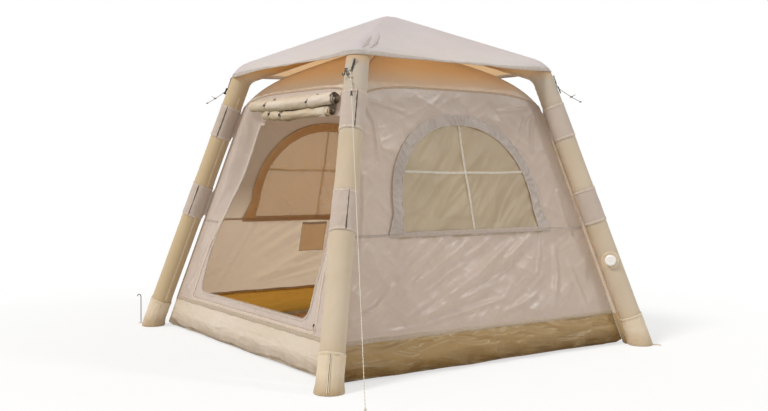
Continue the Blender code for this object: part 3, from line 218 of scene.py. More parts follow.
def folds(u, v, strokes):
    """Sum of drawn creases: each is (path, width, height), a ridge if the height is above zero."""
    total = np.zeros(u.shape)
    for path, width, height in strokes:
        d, share = seg_distance(u, v, path)
        taper = np.sin(math.pi * np.clip(0.08 + 0.84 * share, 0, 1)) ** 0.7
        x = d / width
        total += height * taper * (np.exp(-x * x) - 0.45 * bell(x, 2.1))
    return total


# Meshes

def add(name, verts, faces, mat, body="tent", uv=None, flat=False):
    mesh = bpy.data.meshes.new(name)
    mesh.from_pydata(np.asarray(verts, float).reshape(-1, 3).tolist(), [], np.asarray(faces).tolist()
                     if not isinstance(faces, list) else faces)
    mesh.materials.append(mat)
    if uv is not None:
        layer = mesh.uv_layers.new(name="UVMap")
        index = np.empty(len(mesh.loops), int)
        mesh.loops.foreach_get("vertex_index", index)
        layer.data.foreach_set("uv", np.asarray(uv, float).reshape(-1, 2)[index].ravel())
    if not flat:
        mesh.shade_smooth()
    return show(name, mesh, body)


def show(name, mesh, body):
    ob = bpy.data.objects.new(name, mesh)
    bpy.context.scene.collection.objects.link(ob)
    if body:
        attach(ob, body)
    return ob


def grid_faces(n, m, close_n=False, close_m=False):
    i, j = np.meshgrid(np.arange(n if close_n else n - 1), np.arange(m if close_m else m - 1), indexing="ij")
    a, b = i * m + j, i * m + (j + 1) % m
    c, d = ((i + 1) % n) * m + (j + 1) % m, ((i + 1) % n) * m + j
    return np.stack([a, b, c, d], -1).reshape(-1, 4)


def surface(name, points, mat, close_n=False, close_m=False, body="tent", uv=None):
    n, m = points.shape[:2]
    return add(name, points, grid_faces(n, m, close_n, close_m), mat, body, uv)


def join(name, pieces):
    """One object of several meshes that share their body."""
    with bpy.context.temp_override(active_object=pieces[0], selected_editable_objects=pieces,
                                   selected_objects=pieces):
        bpy.ops.object.join()
    pieces[0].name = name
    return pieces[0]


def normals_of(points, close_m=False):
    """Unit normals of a grid of points."""
    a = np.gradient(points, axis=0)
    if close_m:
        b = (np.roll(points, -1, 1) - np.roll(points, 1, 1)) / 2
    else:
        b = np.gradient(points, axis=1)
    n = np.cross(a, b)
    return n / np.maximum(np.linalg.norm(n, axis=-1, keepdims=True), 1e-12)


def frames_along(path, up):
    """Tangent, side and normal at each point of a path whose normals stay near up."""
    path = np.asarray(path, float)
    t = units(np.gradient(path, axis=0))
    side = units(np.cross(t, np.broadcast_to(np.asarray(up, float), path.shape)))
    return t, side, np.cross(side, t)


def ribbon(name, path, up, width, height, mat, body="tent", wobble=0.0):
    """A flat tape along a path: six points across, its edges turned down to the cloth."""
    path = np.asarray(path, float)
    _, side, normal = frames_along(path, up)
    length = run(path)
    across = row(-0.5, -0.47, -0.2, 0.2, 0.47, 0.5)
    lift = row(0, 1, 1, 1, 1, 0) * height
    shake = wobble * noise(at(length * 18, across[None, :].T * 3, 0.3)).T if wobble else row(0)
    points = (path[:, None] + side[:, None] * (across * width)[None, :, None]
              + normal[:, None] * (lift[None, :, None] + shake[..., None]))
    uv = np.stack(np.broadcast_arrays(length[:, None], (across + 0.5)[None, :]), -1)
    return surface(name, points, mat, body=body, uv=uv)


def tube(name, path, radius, mat, body="tent", sides=10, close=False, lay=None):
    """A round tube along a path, with a radius for all points or one for each; lay is a cord's twist."""
    path = np.asarray(path, float)
    n = len(path)
    t = units(np.gradient(path, axis=0) if not close else np.roll(path, -1, 0) - np.roll(path, 1, 0))
    first = row(0, 0, 1) if abs(t[0][2]) < 0.9 else row(1, 0, 0)
    normal = np.empty_like(path)
    v = first - t[0] * (first @ t[0])
    for i in range(n):
        v = v - t[i] * (v @ t[i])
        v /= np.linalg.norm(v)
        normal[i] = v
    side = np.cross(t, normal)
    a = circle(sides)
    r = np.broadcast_to(np.asarray(radius, float), (n,))[:, None]
    if lay is not None:
        pitch, depth = lay
        r = r - depth * (0.5 + 0.5 * np.cos(3 * a[None, :] - TURN * run(path)[:, None] / pitch))
    ring = (normal[:, None] * np.cos(a)[None, :, None] + side[:, None] * np.sin(a)[None, :, None]) * r[..., None]
    faces = grid_faces(n, sides, close, True).tolist()
    if not close:
        faces.append(list(range(sides))[::-1])
        faces.append(list(range((n - 1) * sides, n * sides)))
    return add(name, (path[:, None] + ring).reshape(-1, 3), faces, mat, body)


def box_shape(name, size, matrix, mat, body="tent", bevel=0.001, segments=2):
    bm = bmesh.new()
    bmesh.ops.create_cube(bm, size=1)
    bmesh.ops.scale(bm, vec=size, verts=bm.verts)
    bmesh.ops.bevel(bm, geom=bm.edges[:], offset=bevel, segments=segments, affect="EDGES", profile=0.7)
    bm.transform(matrix)
    mesh = bpy.data.meshes.new(name)
    bm.to_mesh(mesh)
    bm.free()
    mesh.materials.append(mat)
    mesh.shade_smooth()
    mesh.set_sharp_from_angle(angle=math.radians(50))
    return show(name, mesh, body)


def frame_of(across, up, out, origin):
    """The matrix with these axes and this origin."""
    matrix = Matrix((across, up, out)).transposed().to_4x4()
    matrix.translation = Vector(origin)
    return matrix


# Materials

def srgb(colour):
    """The linear colour of an 8-bit sRGB one."""
    shares = (c / 255 for c in colour)
    return tuple(c / 12.92 if c <= 0.04045 else ((c + 0.055) / 1.055) ** 2.4 for c in shares) + (1.0,)


WAVE_SCALE = 0.3142
WEAVE, WEAVE_DEPTH = 0.0011, 0.00008
NET_PITCH = 0.0016


class Nodes:
    """Short calls for building one material's node tree."""

    def __init__(self, name):
        self.mat = bpy.data.materials.new(name)
        self.mat.use_nodes = True
        self.tree = self.mat.node_tree
        self.tree.nodes.clear()
        self.out = self.tree.nodes.new("ShaderNodeOutputMaterial")
        self.obj, self.uv = (self.node("TexCoord").outputs[key] for key in ("Object", "UV"))

    def node(self, kind, links=(), values=(), **settings):
        made = self.tree.nodes.new("ShaderNode" + kind)
        for key, value in settings.items():
            setattr(made, key, value)
        for key, value in dict(values).items():
            made.inputs[key].default_value = value
        for socket, source in dict(links).items():
            self.link(source, made.inputs[socket])
        return made

    def link(self, source, target):
        if isinstance(source, (int, float, tuple)):
            target.default_value = source
        else:
            self.tree.links.new(source.outputs[0] if hasattr(source, "outputs") else source, target)

    def math(self, operation, a, b=0.0, clamp=False):
        return self.node("Math", {0: a, 1: b}, operation=operation, use_clamp=clamp)

    def times(self, colour, share):
        return self.node("VectorMath", {0: colour, 1: share}, operation="MULTIPLY").outputs[0]

    def mix(self, share, a, b):
        return self.node("Mix", {"Factor": share, 6: a, 7: b}, data_type="RGBA").outputs[2]

    def axis(self, coords, name):
        return self.node("SeparateXYZ", {"Vector": coords}).outputs[name]

    def noise(self, scale, detail=2.0, rough=0.5, distortion=0.0):
        return self.node("TexNoise", {"Vector": self.obj}, {
            "Scale": scale, "Detail": detail, "Roughness": rough, "Distortion": distortion}).outputs["Fac"]

    def ramp(self, value, low, high, a=0.0, b=1.0):
        return self.node("MapRange", {"Value": value}, {
            "From Min": low, "From Max": high, "To Min": a, "To Max": b}).outputs["Result"]

    def bump(self, height, distance, strength=1.0, under=None):
        return self.node("Bump", {"Height": height, **({"Normal": under} if under else {})},
                         {"Distance": distance, "Strength": strength}).outputs["Normal"]

    def waves(self, coords, period, direction, distortion=0.0):
        return self.node("TexWave", {"Vector": coords}, {"Scale": WAVE_SCALE / period, "Distortion": distortion},
                         bands_direction=direction).outputs["Fac"]

    def principled(self, colour, rough, normal, **values):
        return self.node("BsdfPrincipled", {"Base Color": colour, "Roughness": rough, "Normal": normal},
                         {key.replace("_", " "): value for key, value in values.items()})

    def blend(self, share, front, behind):
        return self.node("MixShader", {"Fac": share, 1: front, 2: behind})

    def finish(self, shader):
        self.link(shader, self.out.inputs["Surface"])
        return self.mat


def cloth(name, colour, shade, rough=0.78, through=0.0, glow=None, crinkle=0.0012, crinkle_scale=16,
          sheen=0.12, darker_below=None, darkening_strength=1.7, right_side_shade=None, painted_shading=()):
    """Woven cloth in two tones. Painted shading turns it to another tone along one axis, for the light and shade that
    fall there: (axis, whole, none, tone).
    """
    n = Nodes(name)
    tint = n.mix(n.ramp(n.noise(2.6, 4, 0.55, 0.4), 0.32, 0.68), srgb(colour), srgb(shade))
    glow = glow and srgb(glow)
    speck = n.ramp(n.noise(420, 2), 0.25, 0.75, 0.93, 1.05)
    thread = n.math("MULTIPLY", n.waves(n.uv, WEAVE, "X"), n.waves(n.uv, WEAVE, "Y"))
    tint = n.times(tint, n.math("MULTIPLY", speck, n.ramp(thread, 0, 1, 0.95, 1.04)))
    for axis, whole, none, other in painted_shading:
        share = n.ramp(n.axis(n.obj, axis), whole, none, 1, 0)
        tint = n.mix(share, tint, srgb(other))
        glow = n.mix(share, glow, srgb(other)) if glow else None
    if darker_below:
        low, high, dark = darker_below
        below_share = n.math("MULTIPLY", n.ramp(n.axis(n.obj, "Z"), high, low, 0, 1), n.noise(9, 4, 0.6))
        if right_side_shade:
            # painted shade: the right side, turned from the key light, is tinted a darker olive and darkens more
            # towards the ground
            side = n.ramp(n.axis(n.obj, "X"), 0.93, 1.02, 0.0, 1.0)
            tint = n.mix(n.math("MULTIPLY", side, 0.88), tint, srgb(right_side_shade))
            below_share = n.math("MULTIPLY", below_share, n.ramp(side, 0, 1, 0.55, 1.0))
        tint = n.mix(n.math("MULTIPLY", below_share, darkening_strength, True), tint, srgb(dark))
    sharp = n.math("ABSOLUTE", n.math("SUBTRACT", n.noise(crinkle_scale * 0.55, 2, 0.5, 1.2), 0.5))
    relief = n.math("ADD", n.noise(crinkle_scale, 4, 0.55, 0.8), n.math("MULTIPLY", sharp, 1.6))
    normal = n.bump(thread, WEAVE_DEPTH, 0.6, n.bump(relief, crinkle, 0.9))
    gloss = n.ramp(n.noise(7, 3), 0.3, 0.7, rough - 0.07, rough + 0.07)
    body = n.principled(tint, gloss, normal, Sheen_Weight=sheen, Sheen_Roughness=0.5, Specular_IOR_Level=0.35)
    if not through:
        return n.finish(body)
    return n.finish(n.blend(through, body, n.node("BsdfTranslucent", {"Color": glow or tint, "Normal": normal})))


def net(name, colour, hole, glow=(232, 192, 138), through=0.22):
    """Fine net: threads in a square grid with holes that show what is behind."""
    n = Nodes(name)
    gaps = [n.math("GREATER_THAN", n.math("FRACT", n.math("DIVIDE", n.axis(n.uv, axis), NET_PITCH)),
                   1 - math.sqrt(hole)) for axis in "XY"]
    tone = n.ramp(n.noise(5, 3, 0.5, 0.5), 0.3, 0.7)
    colour = srgb(colour)
    tint = n.mix(tone, colour, tuple(c * 0.86 for c in colour[:3]) + (1.0,))
    body = n.principled(tint, 0.42, n.bump(n.noise(14, 3, 0.5, 1.0), 0.0015, 0.8), Sheen_Weight=0.1)
    thread = n.blend(through, body, n.node("BsdfTranslucent", {"Color": srgb(glow)}))
    return n.finish(n.blend(n.math("MULTIPLY", *gaps), thread, n.node("BsdfTransparent")))


def tape(name, colour, stitch, rows=(0.14, 0.86), pitch=0.006, through=0.0, crinkle=0.0006):
    """Woven tape with rows of stitches along it; U runs along in metres and V across from 0 to 1."""
    n = Nodes(name)
    dash = n.math("LESS_THAN", n.math("FRACT", n.math("DIVIDE", n.axis(n.uv, "X"), pitch)), 0.62)
    marks = None
    for place in rows:
        near = n.math("LESS_THAN", n.math("ABSOLUTE", n.math("SUBTRACT", n.axis(n.uv, "Y"), place)), 0.035)
        marks = near if marks is None else n.math("MAXIMUM", marks, near)
    stitches = n.math("MULTIPLY", dash, marks)
    tone = n.ramp(n.noise(60, 3), 0.3, 0.7, 0.88, 1.08)
    rib = n.waves(n.uv, 0.0012, "X")
    ground = n.times(srgb(colour)[:3], n.math("MULTIPLY", tone, n.ramp(rib, 0, 1, 0.93, 1.04)))
    tint = n.mix(stitches, ground, srgb(stitch))
    normal = n.bump(rib, 0.0001, 0.7, n.bump(n.noise(45, 3), crinkle, 0.8))
    body = n.principled(tint, 0.75, n.bump(stitches, 0.0004, 0.9, normal), Sheen_Weight=0.15)
    if not through:
        return n.finish(body)
    return n.finish(n.blend(through, body, n.node("BsdfTranslucent", {"Color": tint})))


def plastic(name, colour, rough=0.4, depth=0.00015, scale=90, metal=0.0, scratch=0.08):
    n = Nodes(name)
    tone = n.ramp(n.noise(scale * 0.4, 3), 0.3, 0.7, 1 - scratch, 1 + scratch * 0.4)
    gloss = n.ramp(n.noise(scale, 4), 0.3, 0.7, rough - 0.08, rough + 0.12)
    normal = n.bump(n.noise(scale * 3, 2), depth, 0.6)
    return n.finish(n.principled(n.times(srgb(colour)[:3], tone), gloss, normal, Metallic=metal))


def braid(name, colour, fleck, pitch=0.005):
    n = Nodes(name)
    wave = n.waves(n.obj, pitch, "DIAGONAL", 1.5)
    tint = n.mix(n.ramp(wave, 0.35, 0.65), srgb(colour), srgb(fleck))
    return n.finish(n.principled(tint, 0.75, n.bump(wave, 0.0004, 0.8), Sheen_Weight=0.2))


# Painted light and shade on the sleeves: greyer towards the legs' tops for the canopy's shade, tan on the left legs
# for their shaded side with warm bounce, and orange above the elbows for the warm light under the canopy; they also
# turn darker towards the ground.
CREAM = cloth("sleeve_cloth", (213, 196, 172), (203, 184, 156), 0.66, 0.08, crinkle=0.0010, crinkle_scale=12,
              darker_below=(0.0, 0.28, (200, 178, 142)),
              painted_shading=(("Z", 1.62, 1.20, (194, 181, 163)), ("X", -0.70, -0.55, (200, 177, 140)),
                     ("Z", 1.73, 1.64, (208, 164, 102))))
CAPCLOTH = cloth("foot_cap_cloth", (222, 205, 180), (210, 191, 162), 0.7, crinkle=0.0018, crinkle_scale=30,
                 darker_below=(-0.02, 0.10, (160, 134, 96)))
CANOPY = cloth("canopy_cloth", (222, 229, 234), (216, 223, 226), 0.8, 0.32, (255, 200, 128), crinkle=0.0009,
               crinkle_scale=9)
# One wall cloth in three copies with painted light and shade: the right wall's darkens at its top for the canopy's
# shade, the door wall's lighter copy paints the stronger light on that side, and the shaded copy for the walls seen
# from inside darkens in its upper part.
WALLS = cloth("wall_cloth", (206, 194, 184), (197, 184, 172), 0.30, 0.26, (250, 232, 208), crinkle=0.0014,
              crinkle_scale=12, painted_shading=(("Z", 1.52, 1.26, (190, 177, 165)),))
SHADEWALLS = cloth("shaded_wall_cloth", (218, 205, 192), (210, 195, 180), 0.30, 0.34, (255, 236, 206),
                   crinkle=0.0014, crinkle_scale=12, painted_shading=(("Z", 0.96, 0.72, (186, 168, 148)),))
LIGHTER_DOOR_WALLS = cloth("door_wall_cloth", (214, 203, 195), (206, 194, 184), 0.30, 0.26, (252, 236, 214),
                  crinkle=0.0014, crinkle_scale=12)
# Painted shade: near its seam the inner roof turns to a greyer tone, like the wall's top in the canopy's shade.
ROOFCLOTH = cloth("inner_roof_cloth", (236, 216, 188), (228, 204, 172), 0.66, 0.26, (250, 222, 186),
                  crinkle=0.0014, crinkle_scale=11, painted_shading=(("Z", 1.51, 1.68, (226, 222, 216)),))
# Painted shade: the skirt darkens to olive in noisy patches towards the ground for the shade under its curled lower
# edge, and its right side, turned from the key light, is tinted a darker olive.
SKIRT = cloth("skirt_cloth", (232, 223, 208), (222, 210, 190), 0.33, 0.20, (240, 210, 160), crinkle=0.0030,
              crinkle_scale=12, sheen=0.05, darker_below=(0.004, 0.112, (96, 76, 28)), darkening_strength=2.3, right_side_shade=(148, 122, 66))
# Painted light: the tub's inside face, the skirt's own cloth, coloured a bright orange-yellow for the warm light
# inside the tent.
WARMLIT_TUB_INSIDE = cloth("tub_inside_warmlit_cloth", (255, 222, 140), (250, 212, 126), 0.5, 0.80, (255, 232, 150),
               crinkle=0.002, crinkle_scale=10)
GROUND = cloth("groundsheet_cloth", (204, 158, 112), (190, 142, 96), 0.6, crinkle=0.003, crinkle_scale=12)
BAND = cloth("wrap_band_cloth", (198, 183, 170), (187, 171, 157), 0.74, crinkle=0.0012, crinkle_scale=26)
BINDING = cloth("window_binding_cloth", (195, 183, 173), (178, 165, 154), 0.40, 0.10, (235, 200, 160),
                crinkle=0.0016, crinkle_scale=34)
# Painted light: the binding's inside face, the same binding cloth, coloured warm orange for the light inside the
# tent.
WARMLIT_INNER_BINDING = cloth("inner_binding_cloth", (246, 218, 170), (226, 184, 130), 0.5, 0.4, (255, 226, 176),
                  crinkle=0.0034, crinkle_scale=34)
NET = net("window_net", (178, 168, 141), 0.08)
SHADENET = net("shaded_window_net", (168, 144, 106), 0.08, glow=(250, 196, 128), through=0.23)
# Painted shade: both rolls turn dark olive below their middles, for the shade on their undersides.
ROLLNET = cloth("rolled_net_cloth", (212, 194, 168), (172, 150, 114), 0.75, crinkle=0.003, crinkle_scale=40,
                painted_shading=(("Z", 1.370, 1.408, (118, 98, 54)),))
ROLLCLOTH = cloth("rolled_door_cloth", (225, 211, 196), (200, 182, 154), 0.7, crinkle=0.0034,
                  crinkle_scale=28, painted_shading=(("Z", 1.425, 1.480, (124, 106, 54)),))
SEAM = tape("seam_tape", (190, 174, 160), (204, 190, 176), rows=(0.3, 0.7), through=0.15)
SKIRTSEAM = tape("skirt_seam_tape", (178, 160, 138), (194, 178, 156))
CREAMTAPE = tape("cream_tape", (214, 196, 166), (240, 230, 208))
BANDTAPE = tape("band_edge_tape", (198, 181, 166), (238, 228, 212), rows=(0.5,), pitch=0.008)
CROSSTAPE = tape("window_cross_tape", (246, 242, 232), (214, 206, 190), rows=(0.3, 0.7), pitch=0.011,
                 through=0.45)
ZIPTAPE = tape("zip_tape", (204, 186, 168), (232, 220, 204), rows=(0.1, 0.9), crinkle=0.0016)
DARKTAPE = tape("dark_tape", (70, 60, 54), (40, 34, 30), rows=(0.2, 0.8))
WEBBING = tape("peg_webbing", (206, 186, 152), (236, 224, 200), rows=(0.25, 0.75), pitch=0.004)
TEETH = plastic("zip_teeth", (196, 178, 156), 0.45)
WHITE = plastic("valve_plastic", (240, 238, 234), 0.42, scratch=0.04)
BLACK = plastic("black_plastic", (26, 24, 24), 0.45)
ELASTIC = braid("shock_cord", (24, 22, 22), (70, 66, 62), 0.003)
GREYROPE = braid("grey_cord_braid", (150, 146, 138), (96, 92, 86))
ROPE = braid("guy_cord_braid", (226, 220, 206), (190, 182, 164))
STEEL = plastic("galvanised_steel", (176, 178, 180), 0.34, metal=1.0)
DARKSTEEL = plastic("peg_steel", (96, 94, 92), 0.45, metal=1.0)
FILM = plastic("air_tube_film", (214, 212, 204), 0.35, 0.0006, 30)
RUBBER = plastic("valve_rubber", (52, 50, 50), 0.7)
# The hem tape is painted a little darker than the canopy, for the shade along the hem.
CANOPYTAPE = tape("canopy_hem_tape", (202, 192, 181), (208, 199, 189), rows=(0.25,), pitch=0.007,
                  through=0.25)
# Painted shade: the pinched folds wear a darker copy of the canopy's cloth for the shade in them.
FOLD_SHADE_CLOTH = cloth("canopy_fold_cloth", (206, 201, 198), (190, 182, 176), 0.8, 0.20, (255, 214, 160),
                  crinkle=0.0012, crinkle_scale=60)
ORANGETAPE = tape("inner_seam_tape", (214, 186, 152), (232, 212, 184), rows=(0.5,), through=0.2)
ROOFSEAM = tape("roof_seam_tape", (196, 172, 146), (206, 184, 158), rows=(0.5,), through=0.2)
# Painted shade: the flange's cream edge tape is coloured orange-brown for the warm shade beside the leg.
EDGETAPE = tape("corner_edge_tape", (190, 156, 116), (214, 190, 156), rows=(0.5,), pitch=0.008)
# Painted light: the window foot tape's inside face, coloured warm for the light inside the tent.
WARMLIT_INNER_TAPE = tape("inner_binding_tape", (214, 184, 146), (228, 204, 172), rows=(0.2, 0.8), pitch=0.006,
                  through=0.5)
PIPING = tape("binding_piping", (206, 196, 186), (170, 158, 146), rows=(0.5,), pitch=0.012)
HEMTAPE = tape("door_hem_tape", (190, 175, 161), (202, 188, 174), rows=(0.2, 0.8), pitch=0.006,
               crinkle=0.0009)
POCKETCLOTH = cloth("pocket_cloth", (242, 228, 204), (236, 218, 190), 0.6, 0.50, (255, 246, 228),
                    crinkle=0.0016, crinkle_scale=24)
STRAPTAPE = tape("strap_webbing", (150, 134, 118), (200, 186, 168), rows=(0.12, 0.88))
PATCHTAPE = tape("valve_patch_cloth", (212, 192, 160), (240, 228, 204), rows=(0.82, 0.93), pitch=0.005)
WRAPCLOTH = cloth("wrap_cloth", (206, 194, 172), (190, 176, 150), 0.7, crinkle=0.0015, crinkle_scale=40)


# Free cords first: the front line runs taut to its peg, two short ends hang from corner hooks

def knot(name, centre, radius, mat, body="tent"):
    """A small overhand knot: a trefoil of cord pulled tight."""
    t = np.linspace(0, TURN, 61)[:-1]
    path = np.stack([np.sin(t) + 2 * np.sin(2 * t), np.cos(t) - 2 * np.cos(2 * t), -1.4 * np.sin(3 * t)], -1)
    path = path / 3.3 * radius
    return tube(name, path + np.asarray(centre), radius * 0.36, mat, body, 8, close=True)


GUY_START = row(0.75523, -0.778427, 1.599283)
GUY_END = row(1.700, -1.305, 0.034)
STUBS = {"front_left": (row(-0.76347, -0.77016, 1.59978), row(-0.59966, -0.59966, -0.52992)),
         "back_right": (row(0.77016, 0.76347, 1.59978), row(0.59966, 0.59966, -0.52992))}


def cord_pieces(pieces):
    return pieces


def make_cords():
    radius, twist = 0.002, (0.006, 0.0003)
    path = line(GUY_START, GUY_END, 40)
    cord = tube("guy_cord", path, radius, ROPE, lay=twist)
    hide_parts("guy_line")
    way = unit(GUY_END - GUY_START)
    pieces = [knot("guy_knot_%d" % i, GUY_START + way * 1.9 * share, 0.0065 - 0.0008 * i, ROPE)
              for i, share in enumerate((0.012, 0.03, 0.052))]
    a = circle(32)
    eye = GUY_END - way * 0.012
    loop = eye + np.outer(np.cos(a) * 0.013, way) + np.outer(np.sin(a) * 0.006, unit(np.cross(way, UP)))
    pieces.append(tube("guy_end_loop", loop, 0.0018, ROPE, sides=8, close=True))
    pieces.append(knot("guy_end_knot", GUY_END - way * 0.032, 0.006, ROPE))
    [NODES["guy_peg"], NODES["guy_runner"]] + cord_pieces(pieces)
    length = 0.165
    for corner, (start, way) in STUBS.items():
        share = np.linspace(0, 1, 16)
        path = start + way * length * share[:, None] - UP * 0.004 * np.sin(math.pi * share)[:, None]
        stub = tube("guy_stub_cord_" + corner, path, radius, GREYROPE, lay=twist)
        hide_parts("guy_stub_" + corner)
        tail = path[9] + np.outer(np.linspace(0, 1, 8), way * 0.030 + UP * 0.030)
        pieces = [knot("guy_stub_knot_" + corner, path[-1], 0.006, GREYROPE),
                  knot("guy_stub_middle_" + corner, path[9], 0.0075, GREYROPE),
                  tube("guy_stub_tail_" + corner, tail, 0.0018, GREYROPE, sides=8)]
        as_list(cord_pieces(pieces))


make_cords()


# Air beams

def outward(corner):
    sx, sy = CORNERS[corner]
    return row(sx, sy, 0) / math.sqrt(2)


def tangent_of(corner):
    sx, sy = CORNERS[corner]
    return row(sy, -sx, 0) / math.sqrt(2)


def beam_frame(corner):
    out = outward(corner)
    foot = out * FOOT_HALF * math.sqrt(2)
    elbow = out * ELBOW_HALF * math.sqrt(2) + UP * ELBOW_Z
    return out, foot, elbow, unit(elbow - foot), unit(UP * HUB_Z - elbow)


def beam_axis(corner, first=0.026, step=0.008):
    """Points along a beam's axis, up the leg, round the elbow and to the hub, and how far each is in the bend."""
    _, foot, elbow, rise, run_in = beam_frame(corner)
    turn = math.acos(rise @ run_in)
    reach = ELBOW_R * math.tan(turn / 2)
    start, end = elbow - rise * reach, elbow + run_in * reach
    centre = start + unit(run_in - rise * (rise @ run_in)) * ELBOW_R
    arm, spin = start - centre, unit(np.cross(rise, run_in))
    leg = line(foot + rise * first / rise[2], start, int(1.7 / step))
    arc = [centre + arm * math.cos(turn * i / 18) + np.cross(spin, arm) * math.sin(turn * i / 18)
           for i in range(1, 19)]
    beam = line(end, UP * HUB_Z - run_in * 0.112, int(0.85 / step))[1:]
    bend = np.concatenate([np.zeros(len(leg)), np.linspace(0, 1, 20)[1:-1], np.ones(len(beam))])
    return np.concatenate([leg, arc, beam]), bend


def leg_point(corner, height):
    _, foot, _, rise, _ = beam_frame(corner)
    return foot + rise * (height / rise[2])


def around(corner, centre, direction, angle, radius):
    """Points round an axis: angle 0 looks out of the tent, and a quarter turn along the tangent."""
    tangent = tangent_of(corner)
    normal = np.cross(direction, tangent)
    normal = normal / np.linalg.norm(normal, axis=-1, keepdims=True)
    return centre + (normal * np.cos(angle)[..., None] + tangent * np.sin(angle)[..., None]) * radius[..., None]


def elastic_start(corner):
    """Where a corner's elastic leaves the canopy."""
    sx, sy = CORNERS[corner]
    return row(sx * 0.75009, sy * 0.75009, 1.66176)


def seed_of(corner):
    return list(CORNERS).index(corner)


def make_sleeve(corner):
    axis, bend = beam_axis(corner)
    t = units(np.gradient(axis, axis=0))
    sides = 64
    s, a = np.meshgrid(run(axis), circle(sides), indexing="ij")
    z = axis[:, 2][:, None] + 0 * a
    bend = bend[:, None]
    seed = 5 * seed_of(corner)
    radius = 0.0645 + 0.0005 * fbm(at(np.cos(a) * 1.3 + seed, np.sin(a) * 1.3, s * 5), 3)
    # the cloth swells and puckers beside the wrap bands and above the cap
    for level in BANDS.values():
        pucker = np.sin(a * 17 + 3 * noise(at(np.cos(a) * 2, np.sin(a) * 2, level)) + seed)
        for end in (-1, 1):
            d = (z - (level + end * 0.105)) * end
            radius += 0.0012 * bell(d - 0.022, 0.016)
            radius += 0.0006 * pucker * bell(d - 0.014, 0.02)
    d = z - 0.17
    radius += (0.0010 + 0.0006 * np.sin(a * 13 + seed)) * bell(d - 0.02, 0.025)
    # wrinkles across the inside of the elbow
    inner = np.clip(0.5 - 0.5 * np.cos(a), 0, 1) ** 3
    mid = bell(bend - 0.5, 0.42) * ((bend > 0) & (bend < 1))
    near = bell(z - 1.60, 0.075) * (bend == 0)
    wave = np.cos(TURN * s / 0.034 + 2.2 * noise(at(np.cos(a) * 1.5, np.sin(a) * 1.5, s * 4 + seed)))
    radius += inner * (mid * (0.0012 * wave + 0.0014) + near * (0.0008 * wave + 0.0004))
    radius -= 0.0004 * (z > 1.63)
    points = around(corner, axis[:, None], np.broadcast_to(t[:, None], (len(axis), sides, 3)), a, radius)
    sleeve = surface("sleeve_" + corner, points, CREAM, close_m=True, uv=np.stack([s, a * TUBE], -1))
    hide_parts("leg_sleeve_" + corner, "beam_sleeve_" + corner)
    if corner == "back_right":
        open_round_valve(sleeve, corner)
    keep = (axis[:, 2] > 0.19) & (axis[:, 2] < 1.56) & (np.arange(len(axis)) % 2 == 0)
    for k, side in enumerate((-1, 1) if corner == "front_left" else (-1,)):
        angle = np.full(len(axis), side * 2.35)
        base = around(corner, axis, t, angle, np.full(len(axis), 0.0648))
        outer = around(corner, axis, t, angle, np.full(len(axis), 1.0)) - axis
        seam = ribbon("sleeve_seam_%s_%d" % (corner, k), base[keep], outer[keep], 0.012, 0.0009, CREAMTAPE)


def open_round_valve(sleeve, corner):
    """Leaves the valve's neck its hole through the sleeve."""
    centre, out, neck = leg_point(corner, VALVE_Z), tangent_of(corner), 0.017
    bm = bmesh.new()
    bm.from_mesh(sleeve.data)
    inside = []
    for v in bm.verts:
        d = np.array(v.co) - centre
        along = d @ out
        if along > 0 and np.linalg.norm(d - out * along) < neck:
            inside.append(v)
    bmesh.ops.delete(bm, geom=inside, context="VERTS")
    bm.to_mesh(sleeve.data)
    bm.free()


